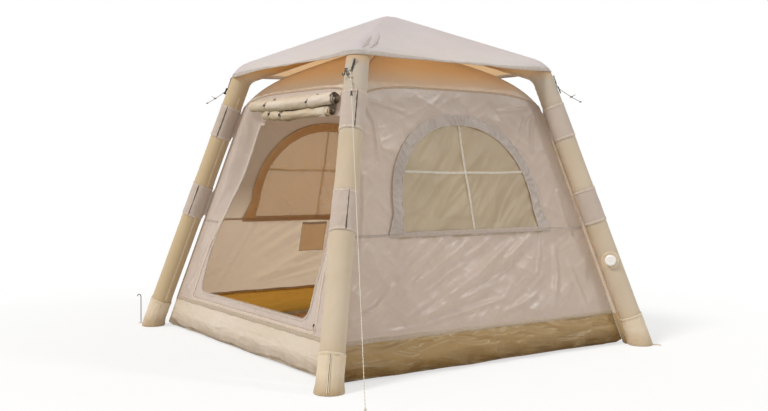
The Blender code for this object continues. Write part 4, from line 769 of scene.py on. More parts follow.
def make_cap(corner):
    """A foot cap: flared cloth cup with a stitched top hem, a side zip and a webbing tab."""
    out, foot, _, rise, _ = beam_frame(corner)
    tangent = tangent_of(corner)
    normal = np.cross(rise, tangent)
    angle = circle(96)
    cos, sin = np.cos(angle), np.sin(angle)
    seed = 9.0 * (1 + seed_of(corner))

    def flare(h, wide):
        """Centre, radius and the way out of the cup at a height, and how far the flare has closed."""
        share = min(1.0, h / 0.07)
        centre = foot + rise * (h / rise[2]) - out * 0.007 * (1 - share)
        return centre, wide + 0.0095 * (1 - share) ** 1.4, unit(out * (1 - share) + normal * share), share

    rows = []
    heights = np.concatenate([[0.0, 0.003, 0.008], np.linspace(0.016, 0.18, 26)])
    for h in heights:
        centre, radius, lean, share = flare(h, 0.0686)
        radius -= 0.004 * max(0.0, 1 - h / 0.006) ** 2
        p = at(cos * 2 + seed, sin * 2, h * 16)
        r = radius + 0.0014 * ridged(p) * (1 - share * 0.4) + 0.0016 * fbm(p * 1.7, 2)
        tuck = np.sin(angle * 15 + 4 * noise(at(cos * 2, sin * 2, seed)))
        r += 0.0012 * tuck * (bell(h - 0.155, 0.018) + 0.8 * bell(h, 0.03))
        r = np.maximum(r, 0.0668)
        rows.append(centre + np.outer(cos * r, lean) + np.outer(sin * r, tangent))
    points = np.array(rows)
    points[..., 2] = np.maximum(points[..., 2], GROUND_Z)
    points[0, :, 2] = GROUND_Z
    faces = grid_faces(len(heights), len(angle), close_m=True).tolist()
    faces.append(list(range(len(angle)))[::-1])
    h, a = np.meshgrid(heights, angle, indexing="ij")
    cap = add("cap_" + corner, points.reshape(-1, 3), faces, CAPCLOTH, uv=np.stack([a * 0.07, h], -1))
    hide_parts("foot_cap_" + corner)
    hem, low, high = [], 0.166, 0.181
    for h in (low, low + 0.001, (low + high) / 2, high - 0.001, high):
        r = (0.0704 if low < h < high else 0.0668) + 0.0005 * np.sin(angle * 15 + seed)
        hem.append(foot + rise * (h / rise[2]) + np.outer(cos * r, normal) + np.outer(sin * r, tangent))
    top = surface("cap_hem_" + corner, np.array(hem), CREAMTAPE, close_m=True,
                  uv=strip_uv(angle * 0.07, 0, 0.07, 0.5, 0.93, 1.0))
    zip_angle = {"front_right": -0.12, "back_right": -0.5, "back_left": 0.3, "front_left": 0.6}[corner]
    path, outer = [], []
    for h in np.linspace(0.012, 0.163, 20):
        centre, radius, lean, _ = flare(h, 0.0705)
        outer.append(lean * math.cos(zip_angle) + tangent * math.sin(zip_angle))
        path.append(centre + outer[-1] * radius)
    path, outer = np.array(path), np.array(outer)
    for piece in (ribbon("cap_zip_" + corner, path, outer, 0.014, 0.0012, CREAMTAPE, wobble=0.0008),
                  tube("cap_zip_teeth_" + corner, path + outer * 0.0012, 0.0013, DARKTAPE, sides=6)):
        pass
    for name, i, lift, size, bevel in (("slider", -3, 0.003, (0.006, 0.009, 0.003), 0.0008),
                                       ("pull", -5, 0.0045, (0.0035, 0.020, 0.0012), 0.0004)):
        piece = box_shape("cap_%s_%s" % (name, corner), size, frame_at(path[i] + outer[i] * lift, outer[i], rise),
                          STEEL, bevel=bevel)
    make_tab(corner)


def frame_at(origin, normal, up):
    """Axes across, up and out of a surface at a point."""
    normal = unit(normal)
    across = unit(np.cross(up, normal))
    return frame_of(across, np.cross(normal, across), normal, origin)


def make_tab(corner):
    """The webbing tab on a cap: doubled tape with a frayed end."""
    out, foot, _, _, _ = beam_frame(corner)
    way, reach = {"front_left": (row(-0.96571, -0.25962, 0), 0.069),
                  "front_right": (-out, 0.022)}.get(corner, (out, 0.045))
    share = np.linspace(0, 1, 26)
    distance = 0.064 + (0.007 + reach) * share
    lift = 0.0012 + 0.0016 * np.sin(math.pi * share) + 0.0007 * np.sin(share * 11)
    path = foot[None] + way[None] * distance[:, None] + UP[None] * lift[:, None]
    tab = ribbon("peg_tab_" + corner, path, UP, 0.024, 0.0022, WEBBING, wobble=0.0004)
    side = np.cross(way, UP)
    strands = []
    for k in range(12):
        tip = path[-1] + side * (k / 11 - 0.5) * 0.022
        bend = side * 0.002 * math.sin(k * 2.7) + way * (0.004 + 0.003 * (math.sin(k * 5.1) * 0.5 + 0.5))
        strand = np.array([tip - way * 0.003 + UP * 0.0012, tip + UP * 0.001, tip + bend + UP * 0.0002])
        strands.append(tube("fray_%s_%d" % (corner, k), strand, [0.0007, 0.0006, 0.0004], WEBBING, sides=5))
    join("peg_tab_fray_" + corner, strands)


def make_band(corner, level, height):
    """A wrap band: overlapping cloth with a hook-and-loop edge and stitched ends, and its fin to the wall."""
    _, _, _, rise, _ = beam_frame(corner)
    centre, tangent = leg_point(corner, height), tangent_of(corner)
    normal = np.cross(rise, tangent)
    half, flap = BAND_HALF, {"front_right": -0.42, "back_right": -2.75, "back_left": 2.6, "front_left": -1.5}[corner]
    seed = 3.0 * seed_of(corner) + (40 if level == "upper" else 0)
    rough = 1.0 if level == "upper" else 2.0
    angle = flap + TURN * np.arange(113) / 112 * 0.999
    along = np.concatenate([[-half, -half + 0.001], np.linspace(-half + 0.006, half - 0.006, 25),
                            [half - 0.001, half]])
    w, a = np.meshgrid(along, angle, indexing="ij")
    turn = (a - flap) / TURN
    p = at(np.cos(a) * 1.6 + seed, np.sin(a) * 1.6, w * 11)
    r = 0.0676 + 0.0006 * rough * fbm(p, 3) + 0.0006 * rough * ridged(p * 0.8 + 3)
    r = r + 0.0016 * np.clip(1 - turn / 0.16, 0, 1) ** 0.5
    r += 0.0010 * bell(turn - 0.07, 0.07) * rough * np.sin(w * 95 + 3 * noise(at(w * 20, a * 2, seed)))
    rim = np.clip(np.minimum(w + half, half - w) / 0.0011, 0, 1)
    r = np.maximum(np.where(rim < 0.5, 0.0652, r), 0.0653)
    points = (centre + rise * w[..., None]
              + (normal * np.cos(a)[..., None] + tangent * np.sin(a)[..., None]) * r[..., None])
    ring = surface("wrap_%s_%s" % (level, corner), points, BAND, uv=np.stack([a * 0.067, w], -1))
    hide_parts("band_%s_%s" % (level, corner))
    for k, at_edge in enumerate((-half + 0.009, half - 0.009)):
        rows = []
        for offset, lift in ((-0.008, 0.0), (-0.0072, 0.0011), (0, 0.0013), (0.0072, 0.0011), (0.008, 0.0)):
            mine = at_edge + offset
            nearest = int(round(np.interp(mine, along, np.arange(len(along)))))
            base = points[nearest] - (centre + rise * along[nearest])
            base_r = np.linalg.norm(base, axis=1)
            reach = np.maximum(base_r, 0.0672) + lift
            rows.append(centre + rise * mine + base / base_r[:, None] * reach[:, None])
        edge = surface("wrap_hem_%s_%s_%d" % (level, corner, k), np.array(rows), BANDTAPE,
                       uv=strip_uv(angle * 0.067, 0, 0.06, 0.5, 0.94, 1))
    ww = np.linspace(-half + 0.004, half - 0.004, 30)
    arm = normal * math.cos(flap) + tangent * math.sin(flap)
    path = centre + np.outer(ww, rise) + (normal * math.cos(flap - 0.015) + tangent * math.sin(flap - 0.015)) * 0.0678
    path = path + arm * (0.0009 * np.sin(ww * 120))[:, None]
    dark = ribbon("wrap_hook_%s_%s" % (level, corner), path, arm, 0.006, 0.0022, DARKTAPE, wobble=0.0006)
    make_fin(corner, level, normal, rise, centre, seed)


def make_fin(corner, level, normal, rise, centre, seed):
    """The cloth between the band and the inner tent's corner seam, drawn in at its middle."""
    sx, sy = CORNERS[corner]
    n, m = 34, 14
    e = np.linspace(-1, 1, n)
    points = np.empty((2, n, m, 3))
    for layer, offset in enumerate((-1, 1)):
        for j, q in enumerate(np.linspace(0, 1, m)):
            narrow = 1 - 0.24 * math.sin(math.pi * q)
            at_leg = centre + np.outer(e * 0.106 * narrow, rise) - normal * 0.0665
            z = at_leg[:, 2] + 0.010 * q
            wall = WALL_FOOT - LEAN * z
            at_wall = np.stack([sx * wall, sy * wall, z], -1)
            crumple = 0.0045 * math.sin(math.pi * q) * fbm(at(e * 3.2 + seed, q * 2, 0.0), 2)
            points[layer, :, j] = (at_leg * (1 - q) + at_wall * q
                                   + tangent_of(corner) * (crumple + offset * 0.0009)[:, None])
    sheets = [surface("fin_a", points[0], BAND), surface("fin_b", points[1][:, ::-1], BAND)]
    rims = [tube("fin_rim", (points[0, end] + points[1, end]) / 2, 0.0022, BANDTAPE, sides=8) for end in (0, -1)]
    join("fin_%s_%s" % (level, corner), sheets + rims)


def make_legs():
    for corner in CORNERS:
        make_sleeve(corner)
        make_cap(corner)
        for level, height in BANDS.items():
            make_band(corner, level, height)


make_legs()


# Canopy: one hip-roofed sheet whose corners wrap the elbows

TURN_ROWS = 22
CANOPY_SIDE, CANOPY_CORNER = 84, 14


def canopy_grid():
    """The canopy from crown to hem, and for each point its half width, place along, place inside and side."""
    fall = [(0.045, 0.0202, CROWN), (0.6672, 0.0202, 1.7830)]
    turn = [fall[1], (0.7002, 0.0340, 1.7649), (0.7291, 0.0460, 1.7380), (0.7524, 0.0558, 1.7038),
            (HEM_HALF, 0.0627, 1.6640)]
    rows = [(h, min(0.0202, h * 0.6), CROWN + 0.0028 * (1 - (h / 0.045) ** 2)) for h in (0.004, 0.016, 0.03)]
    rows += [tuple(a + (b - a) * share for a, b in zip(*fall)) for share in np.linspace(0, 1, 70)[:-1]]
    rows += [tuple(np.interp(share, range(5), values) for values in zip(*turn))
             for share in np.linspace(0, 4, TURN_ROWS)]
    crown, hem_mid, flat = 2.0784595, 1.700, 0.045
    grid, marks = [], []
    for half, corner, height in rows:
        straight = half - corner
        share = 2 * np.arange(CANOPY_SIDE) / CANOPY_SIDE - 1
        angle = TURN / 4 * np.arange(CANOPY_CORNER) / CANOPY_CORNER
        x = np.concatenate([np.full(CANOPY_SIDE, half), straight + corner * np.cos(angle)])
        y = np.concatenate([straight * share, straight + corner * np.sin(angle)])
        inside = np.concatenate([straight * (1 - np.abs(share)), 0 * angle])
        middle = crown + (hem_mid - crown) * half / HEM_HALF
        share = np.clip((inside - flat) / max(half - flat, flat), 0, 1)
        blend = 1 - (1 - share) ** (2 + 1.6 * smooth(half, 0.69, HEM_HALF))
        grid.append(four_sides(x, y, height + (middle - height) * blend))
        marks.append(np.concatenate([np.stack([0 * y + half, y, inside, 0 * y + side], -1) for side in range(4)]))
    return shorten_corners(np.array(grid)), np.array(marks)


def shorten_corners(grid):
    """Pulls the hem up a little where it wraps each corner, most of all at the front one."""
    ring = grid[-1]
    made = grid.copy()
    start, columns = len(grid) - TURN_ROWS, np.arange(len(ring))
    for corner, (sx, sy) in CORNERS.items():
        near = smooth((ring[:, 0] * sx + ring[:, 1] * sy) / (2 * HEM_HALF), 0.55, 0.97)
        cut = near * {"front_right": 0.26, "front_left": 0.10, "back_right": 0.24}.get(corner, 0.05)
        for i in range(TURN_ROWS):
            low = np.floor(i * (1 - cut)).astype(int)
            part = (i * (1 - cut) - low)[:, None]
            high = np.minimum(low + 1, TURN_ROWS - 1)
            fresh = grid[start + low, columns] * (1 - part) + grid[start + high, columns] * part
            made[start + i] = np.where((cut > 0)[:, None], fresh, made[start + i])
    return made


# Creases pressed into the canopy's cloth, as (path of (along, half width), width, height): the first ones on
# the right-hand side, the others on the other three
CANOPY_STROKES = (
    [([(-0.46, 0.50), (-0.58, 0.635), (-0.67, 0.715)], 0.013, -0.005),
     ([(-0.36, 0.42), (-0.48, 0.58), (-0.59, 0.69)], 0.012, -0.005),
     ([(-0.62, 0.70), (-0.35, 0.715), (0.1, 0.712), (0.45, 0.72)], 0.013, 0.0018),
     ([(0.60, 0.72), (0.48, 0.60), (0.40, 0.45)], 0.016, 0.003),
     ([(0.05, 0.15), (0.10, 0.40), (0.06, 0.70)], 0.03, 0.0016)],
    [([(0.5, 0.6), (0.35, 0.72)], 0.014, 0.003),
     ([(-0.55, 0.66), (-0.3, 0.72)], 0.013, 0.003),
     ([(-0.1, 0.2), (-0.2, 0.6)], 0.03, 0.0018)])
# The two folds above the front corner, as (points, half width)
CANOPY_FOLDS = (([(0.728, -0.690, 1.737), (0.705, -0.650, 1.761), (0.660, -0.603, 1.786), (0.598, -0.549, 1.814),
                  (0.530, -0.493, 1.844)], 0.0125),
                ([(0.725, -0.637, 1.741), (0.705, -0.600, 1.758), (0.665, -0.551, 1.780), (0.591, -0.487, 1.816),
                  (0.524, -0.433, 1.847), (0.437, -0.380, 1.882)], 0.0080))


def make_canopy():
    points, marks = canopy_grid()
    normal = normals_of(points, True)
    if normal[20, 40] @ UP < 0:
        normal = -normal
    normal[:3] = UP
    half, along, inside, side = (marks[..., i] for i in range(4))
    free = smooth(inside, 0.03, 0.16) * smooth(half, 0.05, 0.2)
    d = 0.0030 * fbm(points * 3.1 + 4, 3) * free
    d += 0.0016 * ridged(points * 7.5 + 9) * free
    right = side == 0
    d += folds(along, half, CANOPY_STROKES[0]) * right * smooth(inside, 0.010, 0.045)
    d += folds(along, half, CANOPY_STROKES[1]) * (1 - right) * smooth(inside, 0.02, 0.08)
    # pleats that fan out of the corners, and a gathered hem
    corner_way = np.arctan2(0.77 - half, np.maximum(inside, 0.001))
    fan = np.sin(corner_way * 22 + 2 * noise(points * 4)) * bell(inside - 0.10, 0.10)
    d += 0.0011 * fan * smooth(half, 0.55, 0.72)
    d -= 0.0015 * bell(HEM_HALF - half, 0.02) * smooth(inside, 0.02, 0.1) * (
        0.5 + 0.5 * np.sin(along * 26 + 3 * noise(at(along * 3, 0.3, side))))
    points = points + normal * np.maximum(d, -0.004)[..., None]
    canopy = surface("canopy_cloth", points, CANOPY, close_m=True, uv=np.stack([along, half * 1.09], -1))
    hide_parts("canopy")
    pieces = []
    for quarter in range(4):
        j = quarter * (CANOPY_SIDE + CANOPY_CORNER) + CANOPY_SIDE + CANOPY_CORNER // 2
        pieces.append(ribbon("canopy_hip_seam_%d" % quarter, points[6:, j] + normal[6:, j] * 0.0001, normal[6:, j],
                             0.008, 0.0002, CANOPY))
    pieces += canopy_edge(points, normal[-1]) + [canopy_loop(corner) for corner in CORNERS]
    pieces += canopy_folds(points[right], normal[right])


def canopy_edge(points, out):
    """The hem: a folded edge with a stitch line, and its rolled rim."""
    edge = points[-1]
    down = units(edge - points[-3])
    across = zip((-0.030, -0.029, -0.014, -0.002, 0.0), (0.0, 0.0012, 0.0014, 0.0014, 0.0))
    rows = np.array([edge + down * a + out * lift for a, lift in across])
    return [surface("canopy_hem", rows, CANOPYTAPE, close_m=True, uv=strip_uv(run(edge), 0, 0.05, 0.5, 0.93, 1)),
            tube("canopy_rim", edge + down * 0.0012, 0.0022, CANOPYTAPE, sides=8, close=True)]


def canopy_loop(corner):
    """The loop that holds the elastic at a corner."""
    start = elastic_start(corner)
    arm, side = unit(start * (1, 1, 0)), tangent_of(corner)
    loop = [start + side * 0.009 * math.cos(t) - UP * 0.010 * math.sin(t) + arm * 0.001
            for t in np.linspace(0, math.pi, 12)]
    loop = [loop[0] + UP * 0.020] + loop + [loop[-1] + UP * 0.020]
    return ribbon("canopy_loop_" + corner, loop, np.tile(arm, (len(loop), 1)), 0.006, 0.0012, CANOPYTAPE)


def canopy_folds(spots, ways):
    """Pinched folds that lie on the cloth, whose points and normals are given, in a darker cloth that paints the
    shade in them.
    """
    pieces = []
    t = np.linspace(0, 1, 36)
    for index, (path, wide) in enumerate(CANOPY_FOLDS):
        share = np.linspace(0, len(path) - 1, len(t))
        middle, up = [], []
        for spot in np.stack([np.interp(share, range(len(path)), values) for values in zip(*path)], -1):
            weight = 1 / (np.sum((spots - spot) ** 2, axis=1) + 1e-5) ** 3
            middle.append(weight @ spots / weight.sum())
            up.append(unit(weight @ ways))
        middle, up = np.array(middle), np.array(up)
        side = frames_along(middle, up)[1]
        reach = wide * (0.16 + 0.84 * np.sin(math.pi * t) ** 0.9) * (1 + 0.25 * noise(at(t * 9, index, 0.5)))
        rows = []
        for across in np.linspace(-1, 1, 9):
            lift = 0.0003 + 0.0058 * (1 - across ** 2) ** 1.4 * np.sin(math.pi * t)
            rows.append(middle + side * (across * reach)[:, None] + up * lift[:, None])
        pieces.append(surface("canopy_fold_%d" % index, np.array(rows), FOLD_SHADE_CLOTH))
    return pieces


# Inner tent

def wall_axes(side):
    level = row(*SIDES[side], 0)
    up = unit(UP - level * LEAN)
    normal = unit(level + UP * LEAN)
    return level, up, normal, np.cross(up, normal)


def wall_half(z):
    return WALL_FOOT - LEAN * z


def wall_at(side, u, z, out=0.0):
    level, _, normal, along = wall_axes(side)
    u, z, out = np.broadcast_arrays(np.asarray(u, float), np.asarray(z, float), np.asarray(out, float))
    return (level * wall_half(z)[..., None] + UP * z[..., None] + along * u[..., None]
            + normal * out[..., None])


def seam_height(u):
    return CORNER_TOP + ARCH * (1 - np.abs(u / wall_half(CORNER_TOP)) ** 5)


def arch_path(sizes, n=160):
    """The window arch as (u, z) from its right foot over the crown to its left foot."""
    base, spring, rise = sizes
    right = [(base + (spring - base) * t, MID_Z + (SPRING_Z - MID_Z) * t) for t in np.linspace(0, 1, n // 8)]
    for a in np.linspace(0, TURN / 4, n // 2)[1:]:
        right.append((spring * max(math.cos(a), 0) ** (2 / POWER), SPRING_Z + rise * math.sin(a) ** (2 / POWER)))
    return np.array(right + [(-u, z) for u, z in reversed(right[:-1])])


def even(path, n):
    path = np.asarray(path, float)
    length = run(path)
    t = np.linspace(0, length[-1], n)
    return np.stack([np.interp(t, length, path[:, i]) for i in range(path.shape[1])], -1)


def inside_arch(u, z, sizes, grow=0.0):
    base, spring, rise = sizes
    low = (z >= MID_Z - grow) & (z <= SPRING_Z)
    half = base + (spring - base) * np.clip((z - MID_Z) / (SPRING_Z - MID_Z), 0, 1) + grow
    share = np.clip((z - SPRING_Z) / (rise + grow), 0, 1)
    upper = (z > SPRING_Z) & (z < SPRING_Z + rise + grow)
    top = (spring + grow) * (1 - share ** POWER) ** (1 / POWER)
    return (low & (np.abs(u) < half)) | (upper & (np.abs(u) < top))


DOOR_HEAD, DOOR_KNEE, DOOR_BEND, DOOR_SILL = 1.385, 0.744, 0.345, 0.275
DOOR_ROUND = (0.620, 0.070)


def zip_half(z):
    """Half the distance between the zip's two sides at a height."""
    return 0.790 + (0.569 - 0.790) * (z - 0.222) / (DOOR_HEAD - 0.222)


def door_half(z):
    """Half width of the door's opening at a height."""
    centre, radius = DOOR_ROUND
    corner = centre + radius * np.sqrt(np.clip(1 - ((DOOR_BEND - z) / radius) ** 2, 0, 1))
    low, high = centre + radius, zip_half(DOOR_KNEE) - 0.010
    knee = low + (high - low) * np.clip((z - DOOR_BEND) / (DOOR_KNEE - DOOR_BEND), 0, 1)
    return np.where(z > DOOR_KNEE, zip_half(z) - 0.010, np.where(z < DOOR_BEND, corner, knee))


def inside_door(u, z):
    return (z > DOOR_SILL) & (z < DOOR_HEAD) & (np.abs(u) < door_half(z))


WALL_STROKES = {
    "right": [
        # fan from the upper back corner
        ([(0.655, 1.46), (0.59, 1.36), (0.56, 1.20)], 0.016, 0.008),
        ([(0.650, 1.47), (0.54, 1.40), (0.46, 1.27)], 0.014, 0.007),
        ([(0.645, 1.475), (0.48, 1.455), (0.33, 1.44)], 0.012, 0.005),
        # fan from the upper front corner
        ([(-0.655, 1.46), (-0.60, 1.34), (-0.60, 1.15)], 0.016, 0.007),
        ([(-0.645, 1.47), (-0.52, 1.44), (-0.38, 1.41)], 0.013, 0.005),
        # long folds of the lower panel, running down and towards the front from the seam
        ([(-0.33, 0.700), (-0.42, 0.655), (-0.52, 0.605)], 0.018, 0.008),
        ([(-0.21, 0.708), (-0.38, 0.610), (-0.57, 0.505)], 0.026, 0.011),
        ([(0.00, 0.705), (-0.25, 0.582), (-0.53, 0.432)], 0.032, 0.014),
        ([(0.19, 0.60), (-0.02, 0.49), (-0.20, 0.415), (-0.56, 0.262)], 0.036, 0.018),
        ([(0.17, 0.455), (-0.19, 0.360), (-0.48, 0.286)], 0.028, 0.013),
        ([(0.14, 0.345), (-0.27, 0.281), (-0.62, 0.222)], 0.016, 0.008),
        ([(0.45, 0.712), (0.286, 0.613), (0.07, 0.460)], 0.034, 0.015),
        ([(0.345, 0.702), (0.166, 0.607), (-0.03, 0.500)], 0.022, 0.010),
        ([(0.40, 0.350), (0.28, 0.311), (0.15, 0.270)], 0.020, 0.008),
        ([(0.14, 0.705), (0.02, 0.640), (-0.10, 0.585)], 0.018, 0.008),
        ([(-0.10, 0.560), (-0.24, 0.505), (-0.40, 0.420)], 0.010, 0.005),
        ([(0.26, 0.545), (0.12, 0.470), (-0.04, 0.420)], 0.010, 0.005),
        ([(-0.30, 0.345), (-0.42, 0.300), (-0.56, 0.240)], 0.010, 0.005),
        ([(0.515, 0.700), (0.490, 0.600), (0.440, 0.470)], 0.011, 0.006),
        ([(0.62, 0.62), (0.60, 0.44), (0.52, 0.28)], 0.024, 0.008),
        ([(0.72, 0.52), (0.76, 0.38), (0.80, 0.26)], 0.020, 0.007),
        ([(-0.62, 0.46), (-0.75, 0.36), (-0.92, 0.30)], 0.020, 0.009),
        ([(-0.40, 0.245), (-0.62, 0.235), (-0.88, 0.232)], 0.012, 0.006),
        ([(0.80, 0.62), (0.74, 0.80), (0.72, 0.95)], 0.016, 0.006),
        ([(-0.80, 0.66), (-0.75, 0.85), (-0.72, 1.05)], 0.016, 0.006),
    ],
}
for other, shift in (("left", 0.13), ("back", -0.21)):
    WALL_STROKES[other] = [([(-(u + shift * (MID_Z - z) * (z < 0.7)), z) for u, z in path], w, h * 0.9)
                           for path, w, h in WALL_STROKES["right"]]
WALL_STROKES["left"] += [([(0.505, 0.705), (0.622, 0.473), (0.745, 0.24)], 0.020, -0.011),
                         ([(0.443, 0.702), (0.577, 0.420), (0.640, 0.28)], 0.014, -0.006)]
WALL_STROKES["door"] = [
    ([(0.655, 1.46), (0.62, 1.34), (0.64, 1.18)], 0.012, 0.006),
    ([(-0.655, 1.46), (-0.62, 1.36), (-0.63, 1.22)], 0.012, 0.006),
    ([(0.70, 0.95), (0.76, 0.80), (0.80, 0.60)], 0.014, 0.007),
    ([(0.80, 0.70), (0.84, 0.50), (0.90, 0.33)], 0.016, 0.008),
    ([(0.74, 0.62), (0.79, 0.44), (0.84, 0.26)], 0.014, 0.007),
    ([(-0.70, 0.98), (-0.77, 0.78), (-0.83, 0.55)], 0.014, 0.008),
    ([(-0.72, 0.60), (-0.80, 0.42), (-0.88, 0.28)], 0.014, 0.008),
    ([(-0.50, 0.245), (-0.20, 0.235), (0.20, 0.25), (0.55, 0.24)], 0.010, 0.006),
    ([(-0.40, 1.46), (-0.10, 1.48), (0.25, 1.465), (0.45, 1.45)], 0.015, 0.004),
    ([(-0.70, 0.255), (-0.35, 0.262), (0.05, 0.258)], 0.008, 0.004),
    ([(0.10, 0.225), (0.45, 0.232), (0.75, 0.23)], 0.009, 0.004),
]


def wall_relief(side, u, z):
    """How far the wall's cloth stands out of its plane."""
    door = side == "door"
    half = wall_half(z)
    edge = np.minimum(half - np.abs(u), np.minimum(z - SEAM_Z, seam_height(u) - z))
    seed = {"door": 3.0, "right": 11.0, "back": 19.0, "left": 27.0}[side]
    d = 0.0045 * fbm(at(u * 2.2, z * 2.2, seed), 3)
    d += 0.0032 * ridged(at(u * 3.4 + z * 2.4, z * 2.0 - u * 1.1, seed + 5))
    d += 0.0014 * ridged(at(u * 8 + z * 5, z * 6 - u * 2, seed + 9))
    if door:
        strip = smooth(np.abs(u) - zip_half(z), -0.02, 0.05)
        d = d * 0.7 + 0.0050 * ridged(at(u * 3, z * 7, seed + 2)) * strip - 0.003
        d += smooth(z, 0.30, 0.26) * 0.0085 * ridged(at(u * 6 + z * 12, z * 14 - u * 2, seed + 3))
    else:
        across, along = u * 0.55 - z * 0.83, u * 0.83 + z * 0.55
        slanted = ridged(at(across * 8.5, along * 1.7, seed + 1))
        slanted = slanted + 0.5 * ridged(at(across * 19, along * 3, seed + 4))
        lower = smooth(z, 0.75, 0.68)
        d -= 0.009 * smooth(edge, 0.0, 0.3)
        d += slanted * (0.0026 * lower + 0.0012 * (1 - lower))
        # calm under the window's binding and behind the pocket
        d = np.where(inside_arch(u, z, TRIM), d * 0.25 - 0.001, d)
        if side == "left":
            d = np.where((np.abs(u - POCKET_U) < 0.125) & (z > 0.46) & (z < 0.71), d * 0.2 - 0.001, d)
        seam = bell(z - 0.722, 0.010)
        d += 0.0016 * np.sin(u * 62 + 4 * noise(at(u * 3, 0.0, seed))) * bell(z - 0.690, 0.022)
        d = d * (1 - 0.8 * seam) + 0.0015 * seam
    d += 1.35 * folds(u, z, WALL_STROKES[side]) * (1.0 if door else smooth(edge, 0.0, 0.05))
    # gathers along the skirt's seam and the corners' seams
    d += 0.0022 * np.sin(u * 55 + 5 * noise(at(u * 2.5, 1.0, seed))) * bell(z - SEAM_Z - 0.022, 0.018)
    d += 0.0016 * np.sin(z * 48 + 4 * noise(at(z * 3, 2.0, seed))) * bell(half - np.abs(u) - 0.028, 0.020)
    return np.clip(d * smooth(edge, 0.0, 0.09), -0.030, 0.017)


def wall_curl(side, u, z):
    """How far the strip beside the open door curls into the tent."""
    if side != "door":
        return 0 * u
    left = smooth(-u - zip_half(z), 0.09, -0.01) * smooth(-u, 0.36, 0.52) * (0.030 + 0.058 * smooth(z, 0.62, 1.15))
    left = left * smooth(z, 0.40, 0.8) * (1 - smooth(z, 1.40, 1.475))
    right = smooth(u - zip_half(z), 0.07, -0.01) * smooth(u, 0.36, 0.52)
    return left + right * 0.014 * smooth(z, 0.4, 0.7) * (1 - smooth(z, 1.38, 1.46))


def cut_sheet(name, points, u, z, keep, mat):
    """A grid of cloth with only the faces to keep, laid out flat by (u, z)."""
    n, m = u.shape
    faces = grid_faces(n, m)[keep.ravel()]
    used = np.unique(faces)
    remap = np.full(n * m, -1)
    remap[used] = np.arange(len(used))
    return add(name, points.reshape(-1, 3)[used], remap[faces], mat, uv=np.stack([u, z], -1).reshape(-1, 2)[used])


def centres(v):
    return (v[:-1, :-1] + v[1:, :-1] + v[1:, 1:] + v[:-1, 1:]) / 4


def make_wall_cloth(side):
    n, m = (336, 216) if side == "right" else (236, 150)
    s, t = np.linspace(-1, 1, n)[:, None], np.linspace(0, 1, m)[None, :]
    top = seam_height(s * wall_half(CORNER_TOP))
    if side == "door":
        # the rows are level up to the door's head, and fan out to the arched seam above it
        turn = 0.92
        low, high = np.minimum(t / turn, 1), np.maximum((t - turn) / (1 - turn), 0)
        head = SEAM_Z + (DOOR_HEAD - SEAM_Z) * low
        z, edge_z = head + (top - DOOR_HEAD) * high, head + (CORNER_TOP - DOOR_HEAD) * high
    else:
        z, edge_z = SEAM_Z + (top - SEAM_Z) * t, SEAM_Z + (CORNER_TOP - SEAM_Z) * t
    u = s * wall_half(edge_z) + 0 * z
    u = np.where(np.abs(s) > 0.999, np.sign(s) * wall_half(z), u)
    points = wall_at(side, u, z, wall_relief(side, u, z) - wall_curl(side, u, z))
    cu, cz = centres(u), centres(z)
    hole = inside_door(cu, cz) if side == "door" else inside_arch(cu, cz, PANEL, 0.022)
    # the walls' three cloths differ only in painted light and shade: lighter on the door wall, shaded for the walls
    # seen from inside
    mat = {"door": LIGHTER_DOOR_WALLS, "right": WALLS}.get(side, SHADEWALLS)
    wall = cut_sheet("wall_cloth_" + side, points, u, z, ~hole, mat)
    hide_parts(side + "_wall")


def on_wall(side, path, out):
    """Points on a wall's cloth along a path of (u, z)."""
    u, z = path[:, 0], path[:, 1]
    return wall_at(side, u, z, wall_relief(side, u, z) - wall_curl(side, u, z) + out)


def make_roof():
    n_quarter = 96
    share = 2 * np.arange(n_quarter) / n_quarter - 1
    top = wall_half(CORNER_TOP)
    height = seam_height(share * top) + 0.001
    half = wall_half(height)
    side = np.where(np.arange(n_quarter) == 0, -half, top * share)
    drop = ROOF_CROWN - SLOPE * half - height
    levels = np.concatenate([np.linspace(1.0, 0.86, 22), np.linspace(0.85, 0.04, 50), [0.015]])
    points = np.array([four_sides(half * level, side * level, ROOF_CROWN - SLOPE * half * level - drop * level ** 7)
                       for level in levels])
    level = levels[:, None] + 0 * points[..., 0]
    normal = normals_of(points, True)
    if normal[30, 20] @ UP < 0:
        normal = -normal
    x, y = np.abs(points[..., 0]), np.abs(points[..., 1])
    hip = np.abs(x - y)
    fade = smooth(hip, 0.0, 0.10) * smooth(1 - level, 0.0, 0.06) * smooth(level, 0.02, 0.1)
    d = 0.006 * fbm(points * 3.3 + 30, 3) + 0.0035 * ridged(points * (5, 5, 2) + 31)
    along = np.where(x > y, points[..., 1], points[..., 0])
    ruffle = np.sin(along * 60 + 4 * noise(points * 3)) * bell(1 - level - 0.035, 0.03)
    d = (d - 0.006) * fade + 0.0022 * ruffle * smooth(hip, 0, 0.05)
    points = points + normal * d[..., None]
    roof = surface("inner_roof_cloth", points, ROOFCLOTH, close_m=True, uv=points[..., :2])
    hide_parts("inner_roof")
    pieces = [ribbon("roof_hip_seam_%d" % quarter, points[:-2, quarter * n_quarter],
                     normal[:-2, quarter * n_quarter], 0.012, 0.0010, ORANGETAPE) for quarter in range(4)]
    ring = points[0]
    for name, out in (("roof_seam_outer", 1), ("roof_seam_inner", -1)):
        radial = np.concatenate([np.tile(row(*SIDES[k], 0), (n_quarter, 1)) for k in QUARTERS]) * out
        section = ((-0.006, 0), (-0.005, 0.0016), (0, 0.0018), (0.005, 0.0012), (0.006, -0.001))
        rows = [ring + UP * dz + radial * (lift - LEAN * dz * out + 0.0004) for dz, lift in section]
        pieces.append(surface(name, np.array(rows), ROOFSEAM, close_m=True,
                              uv=strip_uv(run(ring), 0, 0.06, 0.5, 0.94, 1)))


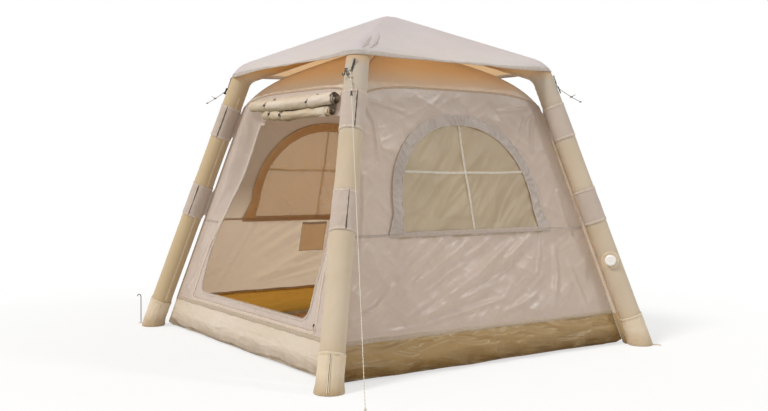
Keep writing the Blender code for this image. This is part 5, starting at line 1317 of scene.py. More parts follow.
def skirt_wave(share, quarter):
    return 0.6 * np.sin(5.3 * share + 1.7 * quarter) + 0.4 * np.sin(13 * share + quarter)


def tub_grid(share):
    """The skirt's rows from the walls' seam to under the floor, and how far down its section each row is."""
    heights = (SEAM_Z, 0.112, 0.030, 0.009, 0.0)
    wavy = (0, 0, 1, 1 / 3, 0)
    fixed = (None, None, None, 1.040, 0.985)
    dense = [(k, q) for k, count in enumerate((16, 20, 8, 6)) for q in np.linspace(0, 1, count, endpoint=False)]
    rows, tags = [], []
    for k, q in dense + [(3, 1.0)]:
        ring = []
        for quarter in range(4):
            halves, levels = [], []
            for i in (k, k + 1):
                h = heights[i] + 0.009 * skirt_wave(share, quarter) * (1 - share ** 8) * wavy[i]
                halves.append(wall_half(h) if fixed[i] is None else np.full(len(share), fixed[i]))
                levels.append(h + 0 * share)
            half = halves[0] * (1 - q) + halves[1] * q
            h = levels[0] * (1 - q) + levels[1] * q
            ring.append(turned(quarter, half, half * share, h))
        rows.append(np.concatenate(ring))
        tags.append(k + q)
    return np.array(rows), np.array(tags)[:, None]


def skirt_relief(u, z, tag, quarter, corner):
    """How far the crumpled skirt stands out, and how far its low edge lifts."""
    body = smooth(tag, 0.05, 0.5) * (1 - smooth(tag, 2.6, 3.4))
    seed = quarter * 7.3
    bent = z + 0.030 * noise(at(u * 2.1, 0.0, seed + 8)) + 0.02 * np.sin(u * 3 + seed)
    creases = (0.0165 * ridged(at(u * 2.9, bent * 13, seed))
               + 0.0060 * ridged(at(u * 6.5 + z * 20, bent * 26 - u * 2, seed + 2))
               + 0.0035 * fbm(at(u * 4, z * 24, seed + 4), 3))
    belly = 0.010 * bell(z - 0.120, 0.038) - 0.024 * bell(z - 0.020, 0.034)
    waves = 0.0045 * np.sin(u * 21 + 3 * noise(at(u * 2, z * 5, seed)) + z * 40) * bell(z - 0.045, 0.03)
    tuck = 0.007 * bell(WALL_FOOT - np.abs(u) - 0.05, 0.02) * np.sin(z * 70 + seed)
    gather = 0.002 * np.sin(u * 55 + 5 * noise(at(u * 2.5, 1.0, seed))) * bell(z - 0.185, 0.012)
    calm = np.where(quarter == 3, 0.45, 1.0)
    d = ((creases + waves) * calm + belly) * corner * body + tuck * body + gather * smooth(tag, 0.0, 0.1)
    sag = 0.006 * fbm(at(u * 6, quarter, 0.0), 2) * bell(tag - 2.2, 0.5) * corner
    return np.clip(d, -0.026, 0.018), sag


def make_tub():
    """The bathtub floor: coated cloth turned up into a crumpled skirt, and the groundsheet inside."""
    steps = 250
    share = 2 * np.arange(steps) / steps - 1
    points, tag = tub_grid(share)
    tag = tag + 0 * points[..., 0]
    u = np.tile(share * WALL_FOOT, 4)[None, :] + 0 * tag
    quarter = np.repeat(np.arange(4), steps)[None, :] + 0 * tag
    out = np.array([(*SIDES[k], 0.0) for k in QUARTERS])[quarter.astype(int)]
    corner = smooth(WALL_FOOT - np.abs(u), 0.0, 0.06)
    d, sag = skirt_relief(u, points[..., 2], tag, quarter, corner)
    points = points + out * d[..., None]
    points[..., 2] = np.maximum(points[..., 2] + sag, GROUND_Z)
    points[-1, :, 2] = GROUND_Z
    uv = np.stack([u, tag * 0.08], -1)
    skirt = surface("tub_skirt", points, SKIRT, close_m=True, uv=uv)
    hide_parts("bathtub_floor")
    # the tub's inside face, a little behind the skirt, in the skirt's cloth painted orange-yellow for the warm light
    # inside the tent
    inner_rows = 38
    inner = points[:inner_rows] - out[:inner_rows] * 0.0035
    inner[:, :, :2] *= np.where(corner[:inner_rows] < 1, 0.9985, 1.0)[..., None]
    lining = surface("tub_lining", inner, WARMLIT_TUB_INSIDE, close_m=True, uv=uv[:inner_rows])
    # the groundsheet's inside face, creased, a little above the ground
    reach = 1.006
    g = np.linspace(-1.0, 1.0, 200) * reach
    x, y = np.meshgrid(g, g, indexing="ij")
    h = 0.004 + 0.0045 * ridged(at(x * 2.4, y * 2.4, 5.0)) + 0.0035 * fbm(at(x * 5, y * 5, 9.0), 3)
    edge = smooth(reach - np.maximum(np.abs(x), np.abs(y)), 0.0, 0.05)
    h = 0.0012 + (np.clip(h, 0.0008, 0.02) - 0.0012) * edge + 0.006 * (1 - edge)
    sheet = surface("groundsheet", np.stack([x, y, h], -1), GROUND, uv=np.stack([x, y], -1))
    # seam between walls and skirt, outside and inside
    for name, way in (("skirt_seam", 1), ("skirt_seam_inner", -1)):
        rows = []
        for dz, lift in ((-0.011, 0.0), (-0.010, 0.0014), (0.0, 0.0024), (0.010, 0.0014), (0.011, 0.0)):
            ring = []
            for side in range(4):
                z = SEAM_Z + dz + 0.0015 * np.sin(share * 23 + side)
                half = wall_half(z) + way * (lift + 0.0004)
                ring.append(turned(side, half, half * share, z))
            rows.append(np.concatenate(ring))
        seam = surface(name, np.array(rows), SKIRTSEAM, close_m=True,
                       uv=strip_uv(np.arange(4 * steps) * (2 * wall_half(SEAM_Z) / steps), 0, 0.05, 0.5, 0.95, 1))


# Windows

def make_window(side):
    """A window: the net panel, its ruffled binding with piping, the foot tapes and the cross of tapes."""
    normal = wall_axes(side)[2]
    seed = {"right": 2.0, "back": 6.0, "left": 10.0}[side]
    u, z = np.meshgrid(np.linspace(-0.54, 0.54, 120), np.linspace(0.706, 1.360, 78), indexing="ij")
    streak = ridged(at((u - z) * 5.5, (u + z) * 1.3, seed)) + 0.5 * ridged(at((u - z) * 12, (u + z) * 2, seed + 3))
    d = -0.0070 + 0.0030 * fbm(at(u * 3, z * 3, seed), 3) + 0.0066 * streak
    cross = np.minimum(np.abs(u), np.abs(z - CROSS_Z))
    d = np.where(cross < 0.02, np.minimum(d, -0.0030), d)
    keep = inside_arch((u[:-1, :-1] + u[1:, 1:]) / 2, (z[:-1, :-1] + z[1:, 1:]) / 2, PANEL, 0.028)
    panel = cut_sheet("net_" + side, wall_at(side, u, z, np.clip(d, -0.0165, -0.0012)), u, z, keep,
                      NET if side == "right" else SHADENET)
    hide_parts("window_mesh_" + side)
    inner, outer = even(arch_path(PANEL), 420), even(arch_path(TRIM), 420)
    length = run(outer)
    s, a = np.meshgrid(length, row(0, 0.03, 0.10, 0.28, 0.5, 0.72, 0.9, 0.97, 1.0), indexing="ij")
    uu, zz = (inner[:, i][:, None] * (1 - a) + outer[:, i][:, None] * a for i in (0, 1))
    phase = s * 118 + 15 * noise(at(s * 5, 0.0, seed)) + 2.6 * np.sin(a * 3 + s * 19)
    ruffle = (1 - 2 * np.abs(np.sin(phase / 2)) ** 0.8) * 0.0056 + 0.0050 * fbm(at(s * 24, a * 2.4, seed), 2)
    crown = np.sin(math.pi * np.clip(a, 0, 1)) ** 0.5
    ruffle = ruffle * crown * (0.8 + 0.4 * noise(at(s * 4, 1.0, seed)))
    lift = np.where((a > 0.001) & (a < 0.999), 0.0022, 0.0) + 0.0040 * crown + ruffle
    lift, uv = np.clip(lift, 0.0002, 0.0140), np.stack([s, a], -1)
    band = surface("window_binding_" + side, wall_at(side, uu, zz, lift), BINDING, uv=uv)
    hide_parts("window_trim_" + side)
    pieces = [band, surface("window_binding_inner_" + side, wall_at(side, uu, zz, -0.0125 - lift * 0.5), WARMLIT_INNER_BINDING,
                            uv=uv)]
    for name, path, out in (("window_piping_inner_", inner, 0.0030), ("window_piping_outer_", outer, 0.0024)):
        curve = wall_at(side, path[:, 0], path[:, 1], out + 0.0006 * np.sin(length * 90))
        pieces.append(tube(name + side, curve, 0.0025, PIPING, sides=7))
    foot = [(-0.603, 0.729), (0.603, 0.729)]
    for name, n, out, way, width, height, mat in (("", 90, 0.0006, normal, 0.030, 0.0016, SEAM),
                                                  ("inner_", 60, -0.012, -normal, 0.036, 0.0012, WARMLIT_INNER_TAPE)):
        path = even(foot, n)
        pieces.append(ribbon("window_foot_" + name + side, wall_at(side, path[:, 0], path[:, 1], out), way, width,
                             height, mat, wobble=0.0006))
    t = np.linspace(0, 1, 70)
    slack = 0.0018 * noise(at(t * 9, seed, 0.0)) - 0.0002
    for name, ends in (("up", [(0, 0.737), (0, 1.342)]), ("across", [(-0.455, CROSS_Z), (0.455, CROSS_Z)])):
        path = even(ends, 70)
        if name == "across":
            path[:, 1] += -0.006 * np.sin(math.pi * t) + 0.0015 * np.sin(t * 14)
        else:
            path[:, 0] += 0.0025 * np.sin(t * 7)
        pieces.append(ribbon("window_tape_%s_%s" % (name, side), wall_at(side, path[:, 0], path[:, 1], slack), normal,
                             0.014, 0.0010, CROSSTAPE, wobble=0.0006))


def make_flange(corner):
    """The strip of wall cloth that joins a back corner to its leg."""
    out, _, _, rise, _ = beam_frame(corner)
    tangent = tangent_of(corner)
    z = np.concatenate([np.linspace(0.010, 0.192, 30), np.linspace(0.200, 1.400, 190)])[:, None]
    a = np.linspace(0, 1, 12)[None, :]
    start = wall_half(z) * math.sqrt(2) + 0.001
    leg = (FOOT_HALF * math.sqrt(2) + (rise @ out) / rise[2] * z) - 0.0685
    reach = start + (leg - start) * a
    pleat = np.sin(z * 46 + 3 * noise(at(z * 3, 0.0, 5.0)) + a) * 0.0032 + 0.003 * ridged(at(z * 7, a * 0.6, 8.0))
    side = pleat * np.sin(math.pi * a) ** 0.7 + 0.0015 * np.sin(z * 9)
    height = z - 0.008 * np.sin(math.pi * a)
    points = reach[..., None] * out + side[..., None] * tangent + height[..., None] * UP
    uv = np.stack(np.broadcast_arrays(z, a * 0.04), -1)
    strip = surface("corner_flange_" + corner, points[30:], WALLS, uv=uv[30:])
    low = surface("corner_flange_foot_" + corner, points[:31], SKIRT, uv=uv[:31])
    way = -tangent if corner == "back_left" else tangent
    edge = ribbon("corner_flange_tape_" + corner, points[:, -3], way, 0.010, 0.0010, EDGETAPE, wobble=0.0008)


def make_seams():
    """Stitched seams of the walls: the middle seam on both sides of the opening, and the corners."""
    far = wall_half(SIDE_SEAM_Z) - 0.004
    for side in SIDES:
        near, width = (zip_half(SIDE_SEAM_Z) + 0.02, 0.012) if side == "door" else (0.595, 0.016)
        for name, ends in (("mid_l", (-far, -near)), ("mid_r", (near, far))):
            path = even([(u, SIDE_SEAM_Z) for u in ends], 60)
            piece = ribbon("wall_seam_%s_%s" % (name, side), on_wall(side, path, 0.0008), wall_axes(side)[2],
                           width, 0.0010, SEAM)
    for corner, (sx, sy) in CORNERS.items():
        z = np.linspace(SEAM_Z, CORNER_TOP - 0.002, 120)
        path = np.stack([sx * wall_half(z), sy * wall_half(z), z], -1)
        piece = tube("corner_seam_" + corner, path + outward(corner) * 0.001, 0.0035, ORANGETAPE, sides=8)


make_canopy()
make_roof()
for wall_side in SIDES:
    make_wall_cloth(wall_side)
make_tub()
for wall_side in WINDOW_SIDES:
    make_window(wall_side)
make_seams()
for back_corner in ("back_right", "back_left"):
    make_flange(back_corner)


# Door: bound opening, open zip, slider, the two rolls and their straps

def mirrored(right, bend, steps):
    """A line down the door's right side with its round corner, then along the sill and up the left side."""
    (x, z), radius = bend
    corner = [(x + radius * math.cos(a), z - radius * math.sin(a)) for a in np.linspace(0, TURN / 4, steps)[1:]]
    right = right + corner
    return np.array(right + [(-u, v) for u, v in right[::-1]])


def door_edge(grow=0.0):
    """The opening's edge as (u, z), from the head down the right side, along the sill and up the left."""
    centre, radius = DOOR_ROUND
    right = [(door_half(v) + grow, v) for v in np.linspace(1.386, DOOR_BEND, 110)]
    return mirrored(right, ((centre, DOOR_BEND), radius + grow), 12)


def zip_path(shift=0.0):
    foot, radius = 0.252, 0.030
    right = [(zip_half(v) + shift, v) for v in np.linspace(1.386, foot, 120)]
    return mirrored(right, ((zip_half(foot) - radius, foot), radius + shift), 10)


def make_door_edges():
    """The opening's hem, and the zip's tape with its row of teeth."""
    normal = wall_axes("door")[2]
    path = even(door_edge(0.004), 420)
    length = np.arange(420) * np.linalg.norm(path[1] - path[0])
    pucker = 0.0012 * np.sin(length * 120 + 3 * noise(at(length * 6, 0.0, 1.0)))
    hems = [ribbon("door_hem_" + name, on_wall("door", path, way * (0.0012 + pucker * 0.5)), normal * way, 0.014,
                   0.0007, HEMTAPE, wobble=0.0006) for name, way in (("outer", 1), ("inner", -1))]
    hems.append(tube("door_hem_rim", on_wall("door", even(door_edge(-0.006), 420), 0.0), 0.0016, HEMTAPE, sides=8))
    track = ribbon("door_zip_tape", on_wall("door", even(zip_path(), 400), 0.0011), normal, 0.020, 0.0009, ZIPTAPE,
                   wobble=0.0003)
    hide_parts("door_zip_track")
    points = on_wall("door", even(zip_path(-0.0105), 1500), 0.0022)
    axes = np.stack(frames_along(points, normal), 1)
    size = row(0.0011, 0.0026, 0.0011) / 2
    corners = np.array([(x, y, z) for z in (-1, 1) for y in (-1, 1) for x in (-1, 1)]) * size
    verts = points[:, None] + corners @ axes
    one = np.array([(0, 1, 3, 2), (4, 6, 7, 5), (0, 4, 5, 1), (2, 3, 7, 6), (0, 2, 6, 4), (1, 5, 7, 3)])
    faces = (np.arange(len(points))[:, None, None] * 8 + one[None]).reshape(-1, 4)
    add("door_zip_teeth", verts, faces, TEETH, flat=True)


def make_slider():
    body, z, span = "door_slider", 0.262, 0.03
    u = zip_half(z) - 0.0105
    low, high = (wall_at("door", zip_half(v) - 0.0105, v) for v in (z - span, z + span))
    way, normal = unit(high - low), wall_axes("door")[2]
    side = np.cross(way, normal)
    place = wall_at("door", u, z, wall_relief("door", row(u), row(z))[0] + 0.0030)
    m = frame_of(side, way, normal, place)
    parts = [box_shape("slider_" + name, size, m @ Matrix.Translation(shift), mat, body, bevel)
             for name, size, shift, mat, bevel in (
                 ("top", (0.0086, 0.0150, 0.0014), (0, 0, 0.0022), DARKSTEEL, 0.0005),
                 ("low", (0.0086, 0.0130, 0.0012), (0, 0, -0.0018), DARKSTEEL, 0.0004),
                 ("neck", (0.0026, 0.0040, 0.0040), (0, 0.0045, 0.0), DARKSTEEL, 0.0004),
                 ("pull", (0.0062, 0.0230, 0.0014), (0, -0.0205, 0.0030), TEETH, 0.0005))]
    bridge = [place + way * (0.005 * math.cos(a)) + normal * (0.0028 + 0.0022 * math.sin(a))
              for a in np.linspace(0, math.pi, 12)]
    ring = [place + normal * 0.0036 - way * (0.0045 + 0.0035 * math.cos(a)) + side * 0.0032 * math.sin(a)
            for a in circle(24)]
    pull = parts.pop()
    parts += [tube("slider_bridge", bridge, 0.0007, DARKSTEEL, body, 8),
              tube("slider_ring", ring, 0.0006, DARKSTEEL, body, 8, close=True), pull]
    slider = join("zip_slider_body", parts)
    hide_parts("door_zip_slider")


# The two rolls, both sewn on at ROLL_Z: ends along the wall, the spiral's radius, pitch and turns, how far it
# hangs below its seam and sags, how far its tail stands out, its seed, its straps' places and how crumpled it is
ROLL_BODY = "rolled_door"
ROLL_Z = 1.522
DOOR_ROLL = dict(left=-0.480, right=0.505, radius=0.0350, pitch=0.0041, turns=7, drop=0.058, sag=0.009,
                 tail_out=0.0021, seed=4.0, places=(-0.270, 0.250), amount=0.155)
NET_ROLL = dict(left=-0.300, right=0.480, radius=0.0260, pitch=0.0048, turns=4, drop=0.120, sag=0.010,
                tail_out=0.0003, seed=8.0, places=(-0.215, -0.075), amount=0.20)


def roll_shape(u, angle, roll):
    """How much a roll's radius is scaled at a place: drawn in at its straps, wrinkled along the cloth."""
    seed, places = roll["seed"], roll["places"]
    size = np.ones(np.broadcast(u, angle).shape)
    for place in places:
        away = np.abs(u - place)
        size = size - 0.20 * bell(away, 0.017) + 0.09 * bell(away - 0.060, 0.035)
    long_fold = ridged(at(u * 3.4 + 0.8 * np.sin(angle), angle / TURN * 3 + u * 2.2, seed)) * 0.8
    pucker = sum(bell(u - q, 0.060) for q in places)
    fan = np.sin(5 * angle + u * 60 + seed) * pucker * 0.45
    lump = noise(at(u * 5.5, seed, 0.0)) * 0.6
    crumple = fbm(at(u * 7, np.cos(angle) * 0.9 + seed, np.sin(angle) * 0.9), 3)
    return size + roll["amount"] * (crumple + long_fold + fan + lump)


def roll_depth(roll, x):
    """How far a roll's middle hangs below the place where it is sewn on."""
    share = (x - roll["left"]) / (roll["right"] - roll["left"])
    return roll["drop"] + (roll["sag"] * math.sin(math.pi * share) + 0.0035 * math.sin(x * 15 + roll["seed"]))


def at_head(u, out, down):
    """A point at the door's head: along the wall, out of it and down it."""
    level, up, normal, along = wall_axes("door")
    u, out, down = (np.asarray(v, float)[..., None] for v in (u, out, down))
    return level * wall_half(ROLL_Z) + UP * ROLL_Z + along * u + normal * out - up * down


def make_roll_cloth(name, roll, mat):
    """A spiral of cloth with its tail up to the wall; returns it and the cloth's length when flat."""
    left, right, seed, radius = (roll[key] for key in ("left", "right", "seed", "radius"))
    per_turn = 30
    tail = np.linspace(0, 1, 8)[:-1]
    angle = np.linspace(0, TURN * roll["turns"], per_turn * roll["turns"])
    rows, uv = [], []
    for x in np.linspace(left, right, 190):
        share, depth = (x - left) / (right - left), roll_depth(roll, x)
        size = roll_shape(np.full(len(angle), x), angle, roll)
        reach = np.maximum(radius - roll["pitch"] * angle / TURN, 0.003) * size
        first, centre = roll["tail_out"], roll["tail_out"] + radius
        out = np.concatenate([first + (centre - reach[0] - first) * tail ** 2, centre - reach * np.cos(angle)])
        down = np.concatenate([depth * tail, depth + reach * np.sin(angle)])
        skew = 0.004 * np.sin(angle * 0.7 + seed) * (2 * share - 1)
        skew += 0.015 * smooth(share, 0.93, 1.0) * (angle / angle[-1]) ** 0.8
        rows.append(at_head(x + np.concatenate([0 * tail, skew]), out, down))
        length = np.concatenate([tail * depth, depth + np.cumsum(reach * TURN / per_turn)])
        uv.append(np.stack([np.full(len(length), x), length], -1))
    return surface(name, np.array(rows), mat, body=ROLL_BODY, uv=np.array(uv)), float(uv[0][-1][1])


def roll_band(name, u, loop, centre, lift, width, height, mat, wobble=0.0):
    """A band round a roll at u, through loop points of (out, down)."""
    path = np.array([at_head(u, o, d) for o, d in loop])
    away = units(path - at_head(u, *centre))
    return ribbon(name, path + away * lift, away, width, height, mat, body=ROLL_BODY, wobble=wobble)


def ring_round(centre, reach, first, last, steps):
    return [(centre[0] - reach * math.cos(a), centre[1] + reach * math.sin(a))
            for a in np.linspace(first, last, steps)]


def roll_buckle(name, size, u, out, down, bevel):
    _, up, normal, along = wall_axes("door")
    return box_shape(name, size, frame_of(along, up, normal, at_head(u, out, down)), BLACK, ROLL_BODY, bevel, 3)


def make_rolls():
    door, door_flat = make_roll_cloth("door_roll_cloth", DOOR_ROLL, ROLLCLOTH)
    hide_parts("door_roll")
    mesh, mesh_flat = make_roll_cloth("net_roll_cloth", NET_ROLL, ROLLNET)
    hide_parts("mesh_roll")
    straps, small = [], []
    for name, u in zip(("left", "right"), DOOR_ROLL["places"]):
        reach, centre = 0.02814, (0.0361, roll_depth(DOOR_ROLL, u))
        loop = ring_round(centre, reach, math.radians(-72), math.radians(-325), 44)
        loop = even([(0.0026, 0.002), (0.008, 0.010)] + loop, 90)
        strap = roll_band("roll_strap_tape_" + name, u, loop, centre, 0.0006, 0.019, 0.0011, STRAPTAPE, 0.0004)
        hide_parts("roll_strap_" + name)
        straps += [strap, roll_buckle("roll_toggle_" + name, (0.0235, 0.0110, 0.0042), u, centre[0] + reach + 0.0030,
                                      centre[1] + 0.004, 0.0016)]
    for i, u in enumerate(NET_ROLL["places"]):
        reach, centre = 0.0222, (0.0263, roll_depth(NET_ROLL, u))
        loop = ring_round(centre, reach, 0, TURN, 40)
        small += [roll_band("net_tie_%d" % i, u, loop, centre, 0.0004, 0.014, 0.0009, STRAPTAPE),
                  roll_buckle("net_buckle_%d" % i, (0.0150, 0.0170, 0.0040), u, centre[0] + reach + 0.0026,
                              centre[1] + 0.002, 0.0012)]
    u = 0.405
    centre = (0.0263, roll_depth(NET_ROLL, u))
    small.append(roll_band("net_wrap", u, ring_round(centre, 0.0275, 0, TURN, 48), centre, 0.0, 0.085, 0.0010,
                           WRAPCLOTH, 0.0022))


# Small pieces of the inner tent

def make_pocket():
    s, t = np.meshgrid(np.linspace(-1, 1, 44), np.linspace(0, 1, 40), indexing="ij")
    u = POCKET_U + 0.1015 * s * (1 - 0.03 * t)
    z = 0.687 - 0.2075 * t * (1 - 0.02 * (1 - s * s))
    bulge = 0.0095 * (1 - s ** 4) * (1 - 0.75 * t ** 3) * (0.35 + 0.65 * (1 - t))
    wrinkle = 0.0016 * ridged(at(u * 14, z * 9, 2.0)) + 0.0016 * fbm(at(u * 20, z * 20, 3.0), 2)
    d = np.clip(-0.0072 - (bulge + wrinkle * 0.7) * (1 - s ** 8) * (1 - t ** 10), -0.0205, -0.0066)
    flat = np.stack([u, z], -1)
    front = surface("pocket_cloth", wall_at("left", u, z, d), POCKETCLOTH, uv=flat)
    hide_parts("pocket")
    rim = np.concatenate([flat[0], flat[1:, -1], flat[-1, ::-1][1:]])
    pieces = [surface("pocket_back", wall_at("left", u, z, -0.0066), POCKETCLOTH, uv=flat),
              ribbon("pocket_hem", wall_at("left", u[:, 0], z[:, 0], d[:, 0] - 0.0004), -wall_axes("left")[2], 0.018,
                     0.0008, HEMTAPE, wobble=0.0006),
              tube("pocket_seam", wall_at("left", rim[:, 0], rim[:, 1], -0.0074), 0.0016, HEMTAPE, sides=8)]


def make_window_pull(side, u, z):
    _, up, normal, along = wall_axes(side)
    path = (wall_at(side, u, z, -0.0105) - UP * np.linspace(0, 0.040, 8)[:, None]
            - normal * 0.0015 * np.sin(np.linspace(0, 3, 8))[:, None])
    cord = tube("window_pull_cord_" + side, path, 0.0012, ROPE, sides=7)
    end = box_shape("window_pull_" + side, (0.006, 0.020, 0.0045), frame_of(along, up, normal, path[-1]), TEETH,
                    bevel=0.0014, segments=3)
    join("window_zip_pull_" + side, [cord, end])


def make_hook(corner, end):
    """A corner's doubled elastic with its crimp, the moulded snap hook and the webbing loop on the leg."""
    start, arm = elastic_start(corner), outward(corner)
    way = unit(end - start)
    side = unit(np.cross(way, arm))
    out = np.cross(side, way)
    strands = []
    t = np.linspace(-0.016, 0.034, 14)
    for offset in (-0.0032, 0.0032):
        bend = offset * (1 - 0.6 * smooth(t, 0.02, 0.034))
        path = start + way * t[:, None] + side * bend[:, None] + out * 0.0012
        strands.append(tube("elastic", path, 0.0029, ELASTIC, sides=9, lay=(0.004, 0.0002)))
    crimp = [start + way * (0.026 + 0.002 * i) for i in range(5)]
    strands.append(tube("crimp", crimp, row(0.0030, 0.0040, 0.0040, 0.0040, 0.0030), BLACK, sides=12))
    elastic = join("elastic_" + corner, strands)
    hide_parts("corner_hook_" + corner)
    centre = start + way * 0.0385
    bend = centre + way * 0.0165
    ring = [centre + way * 0.0042 * math.cos(a) + side * 0.0052 * math.sin(a) for a in circle(28)]
    shank = [centre + way * t for t in np.linspace(0.004, 0.013, 6)]
    shank += [bend + side * (0.0052 * math.sin(a)) + way * (0.0056 * math.cos(a))
              for a in np.linspace(-math.pi * 0.95, math.pi * 0.62, 22)]
    gate = [bend + side * 0.0052 * math.sin(2.3 + 0.05 * i) - way * (0.0035 + 0.0018 * i) for i in range(5)]
    parts = [tube("hook_ring", ring, 0.0021, BLACK, sides=9, close=True),
             tube("hook_shank", even(shank, 46), 0.0023, BLACK, sides=9),
             tube("hook_gate", gate, 0.0009, DARKSTEEL, sides=8)]
    join("hook_" + corner, parts)
    low = start + way * 0.064
    loop = np.array([low - arm * 0.0015 + way * (0.010 - 0.013 * math.sin(a)) + arm * 0.0032 * math.cos(a)
                     for a in np.linspace(-0.3, math.pi + 0.3, 20)])
    edge = ribbon("leg_loop_" + corner, loop, side, 0.0012, 0.0008, WEBBING)
    face = ribbon("leg_loop_face_" + corner, loop, units(loop - (low + way * 0.006)), 0.012, 0.0010, WEBBING)
    join("leg_webbing_loop_" + corner, [edge, face])


def make_double_hook(corner, shift):
    """The moulded double hook that the elastic and the cord meet in."""
    centre, side, rise = HOOK_ENDS[corner] + row(*shift), tangent_of(corner), beam_frame(corner)[3]
    parts = []
    for way in (-1, 1):
        shank = [centre + side * way * 0.0050 + rise * t for t in np.linspace(0.020, -0.010, 8)]
        bend = centre + side * way * 0.0115 - rise * 0.010
        curl = [bend - side * way * 0.0065 * math.cos(a) - rise * 0.0105 * math.sin(a)
                for a in np.linspace(0.2, math.pi * 1.05, 14)]
        parts.append(tube("hook", shank + curl, 0.0031, BLACK))
    for height in (0.018, 0.004):
        bar = [centre + side * 0.0075 * t + rise * height for t in np.linspace(-1, 1, 6)]
        parts.append(tube("hook", bar, 0.0034, BLACK))
    join("double_hook_" + corner, parts)


HOOK_ENDS = {"front_right": row(0.75382, -0.77701, 1.59928), "back_right": row(0.76998, 0.76329, 1.59994),
             "back_left": row(-0.76674, 0.76674, 1.600), "front_left": row(-0.76329, -0.76998, 1.59994)}


# Valve on the back right leg

# The valve's axes: across its face twice and out of it, and its origin on the leg's axis
VALVE_X, VALVE_Y = row(-0.25202, -0.25202, 0.93433), row(-0.66067, -0.66067, -0.35641)
VALVE_OUT, VALVE_ORIGIN = row(0.70711, -0.70711, 0.0), row(1.00404, 1.00404, 0.530)
# The cap's section from its rim to its middle: radius, height and how deep the grips are
VALVE_SECTION = [(0.0335, 0.0716, 0), (0.0348, 0.0722, 1), (0.0349, 0.0760, 1), (0.0347, 0.0805, 1),
                 (0.0340, 0.0835, 0.7), (0.0322, 0.0862, 0.3), (0.0292, 0.0884, 0), (0.0262, 0.0897, 0),
                 (0.0235, 0.0903, 0), (0.0215, 0.0899, 0), (0.0200, 0.0892, 0), (0.0150, 0.0890, 0),
                 (0.0120, 0.0893, 0), (0.0110, 0.0898, 0), (0.0095, 0.0898, 0), (0.0085, 0.0893, 0),
                 (0.0040, 0.0891, 0), (0.0004, 0.0891, 0)]


def valve_ring(angle, radius, height):
    return (VALVE_ORIGIN + VALVE_X * (radius * np.cos(angle))[:, None] + VALVE_Y * (radius * np.sin(angle))[:, None]
            + VALVE_OUT * np.asarray(height)[..., None])


def make_valve():
    a = circle(144)
    places = np.linspace(0, len(VALVE_SECTION) - 1, 4 * (len(VALVE_SECTION) - 1) + 1)
    dense = [np.interp(places, range(len(VALVE_SECTION)), values) for values in zip(*VALVE_SECTION)]
    flute = np.clip(np.cos(18 * a), 0.2, 1) - 0.2
    points = [valve_ring(a, r - 0.0011 * grip * flute, h) for r, h, grip in zip(*dense)]
    cap = surface("valve_knob", np.array(points), WHITE, close_m=True, body="valve_cap")
    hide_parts("valve_cap")
    rings = []
    for r, lift in ((0.0325, 0.0004), (0.0330, 0.0016), (0.0385, 0.0019), (0.0520, 0.0017), (0.0540, 0.0014),
                    (0.0546, 0.0002)):
        deep = np.sqrt(np.maximum(0.0656 ** 2 - (r * np.sin(a)) ** 2, 1e-5)) + lift
        rings.append(valve_ring(a, r, deep + 0.0004 * np.sin(a * 11) * (r > 0.05)))
    patch = surface("valve_patch", np.array(rings), PATCHTAPE, close_m=True,
                    uv=strip_uv(a * 0.045, 0, 0.04, 0.3, 0.88, 0.96, 1))
    # the return spring, which shortens as the plunger's head comes in, drawn here at one fixed length
    wire, coil_low, coil_high, travel, turns = 0.0006, 0.0639, 0.0731, 0.005, 4
    share = np.linspace(0, 1, turns * 30 + 1)
    coil = valve_ring(turns * TURN * share, 0.0047, coil_low + (coil_high - coil_low) * share)
    spring = tube("valve_coil", coil, wire, STEEL, sides=10)
    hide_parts("valve_spring")
    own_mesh(spring)


make_door_edges()
make_slider()
make_rolls()
make_pocket()
make_window_pull("left", 0.231, 0.790)
make_window_pull("right", -0.231, 0.790)
for hook_corner, hook_end in HOOK_ENDS.items():
    make_hook(hook_corner, hook_end)
make_double_hook("front_right", (-0.016, -0.020, 0.004))
make_double_hook("back_right", (0.009, 0.004, -0.012))
make_double_hook("front_left", (-0.006, -0.009, -0.008))
make_valve()

# CAD pieces that show as they are
for node, finish in (("air_hub", CREAM), ("valve_body", WHITE), ("valve_plunger", RUBBER),
                     ("guy_peg", STEEL), ("guy_runner", BLACK),
                     ("standing_peg", DARKSTEEL)):
    for place in NODES[node].material_slots:
        place.material = finish
for corner in CORNERS:
    for place in NODES["bladder_" + corner].material_slots:
        place.material = FILM


# Floor, world and lights

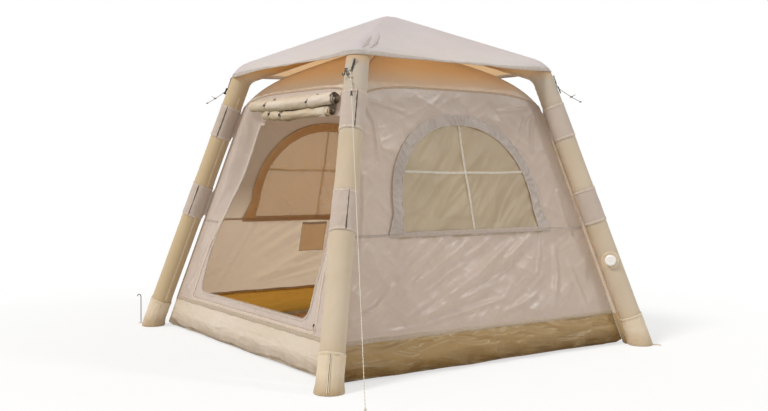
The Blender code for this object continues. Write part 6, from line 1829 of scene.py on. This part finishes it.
def make_floor():
    """Plain pale paper round the tent, which turns to plain white away from it."""
    n = Nodes("studio_floor")
    flat = n.node("CombineXYZ", {axis: n.axis(n.obj, axis) for axis in "XY"})
    reach = n.node("VectorMath", {0: flat}, operation="LENGTH").outputs["Value"]
    tint = n.times((0.93, 0.93, 0.93), n.ramp(n.noise(3, 3), 0.3, 0.7, 0.985, 1.0))
    share = n.math("MULTIPLY", n.ramp(reach, 1.7, 3.8, 0.62, 1.0), n.node("LightPath").outputs["Is Camera Ray"])
    light = n.node("Emission", {"Strength": 1.0})
    paper = n.finish(n.blend(share, n.node("BsdfDiffuse", {"Color": tint}), light))
    ends = (-30, 30)
    floor = add("floor", [(x, y, -0.001) for x, y in zip(ends + ends[::-1], (-30, -30, 30, 30))], [(0, 1, 2, 3)],
                paper, body=None)


def make_world():
    """A pale studio: dim for what it lights, white where the camera or a reflection sees it."""
    world = bpy.data.worlds.new("studio")
    bpy.context.scene.world = world
    world.use_nodes = True
    tree = world.node_tree
    tree.nodes.clear()

    def node(kind, *sources, **settings):
        made = tree.nodes.new("ShaderNode" + kind)
        for key, value in settings.items():
            setattr(made, key, value)
        for socket, source in enumerate(sources):
            if hasattr(source, "is_output"):
                tree.links.new(source, made.inputs[socket])
            else:
                made.inputs[socket].default_value = source
        return made

    seen = node("LightPath").outputs
    last = seen["Is Camera Ray"]
    for name in ("Is Glossy Ray", "Is Transmission Ray"):
        last = node("Math", last, seen[name], operation="MAXIMUM").outputs[0]
    dim, bright = (node("Background", colour, strength).outputs[0]
                   for colour, strength in (((1.0, 0.99, 0.98, 1), AMBIENT), ((1, 1, 1, 1), 1.0)))
    node("OutputWorld", node("MixShader", last, dim, bright).outputs[0])


def make_sun(name, way, strength, angle, colour):
    data = bpy.data.lights.new(name, "SUN")
    data.energy = strength
    data.angle = math.radians(angle)
    data.color = colour
    ob = bpy.data.objects.new(name, data)
    bpy.context.scene.collection.objects.link(ob)
    ob.rotation_euler = (-Vector(way)).to_track_quat("-Z", "Y").to_euler()


AMBIENT = 0.485
make_floor()
make_world()
make_sun("key_light", (-0.02, -0.76, 0.86), 1.92, 12, (1.0, 0.98, 0.95))
make_sun("rim_light", (0.60, 0.57, 0.54), 0.58, 7, (1.0, 1.0, 1.0))
bpy.context.scene.view_settings.view_transform = "Standard"
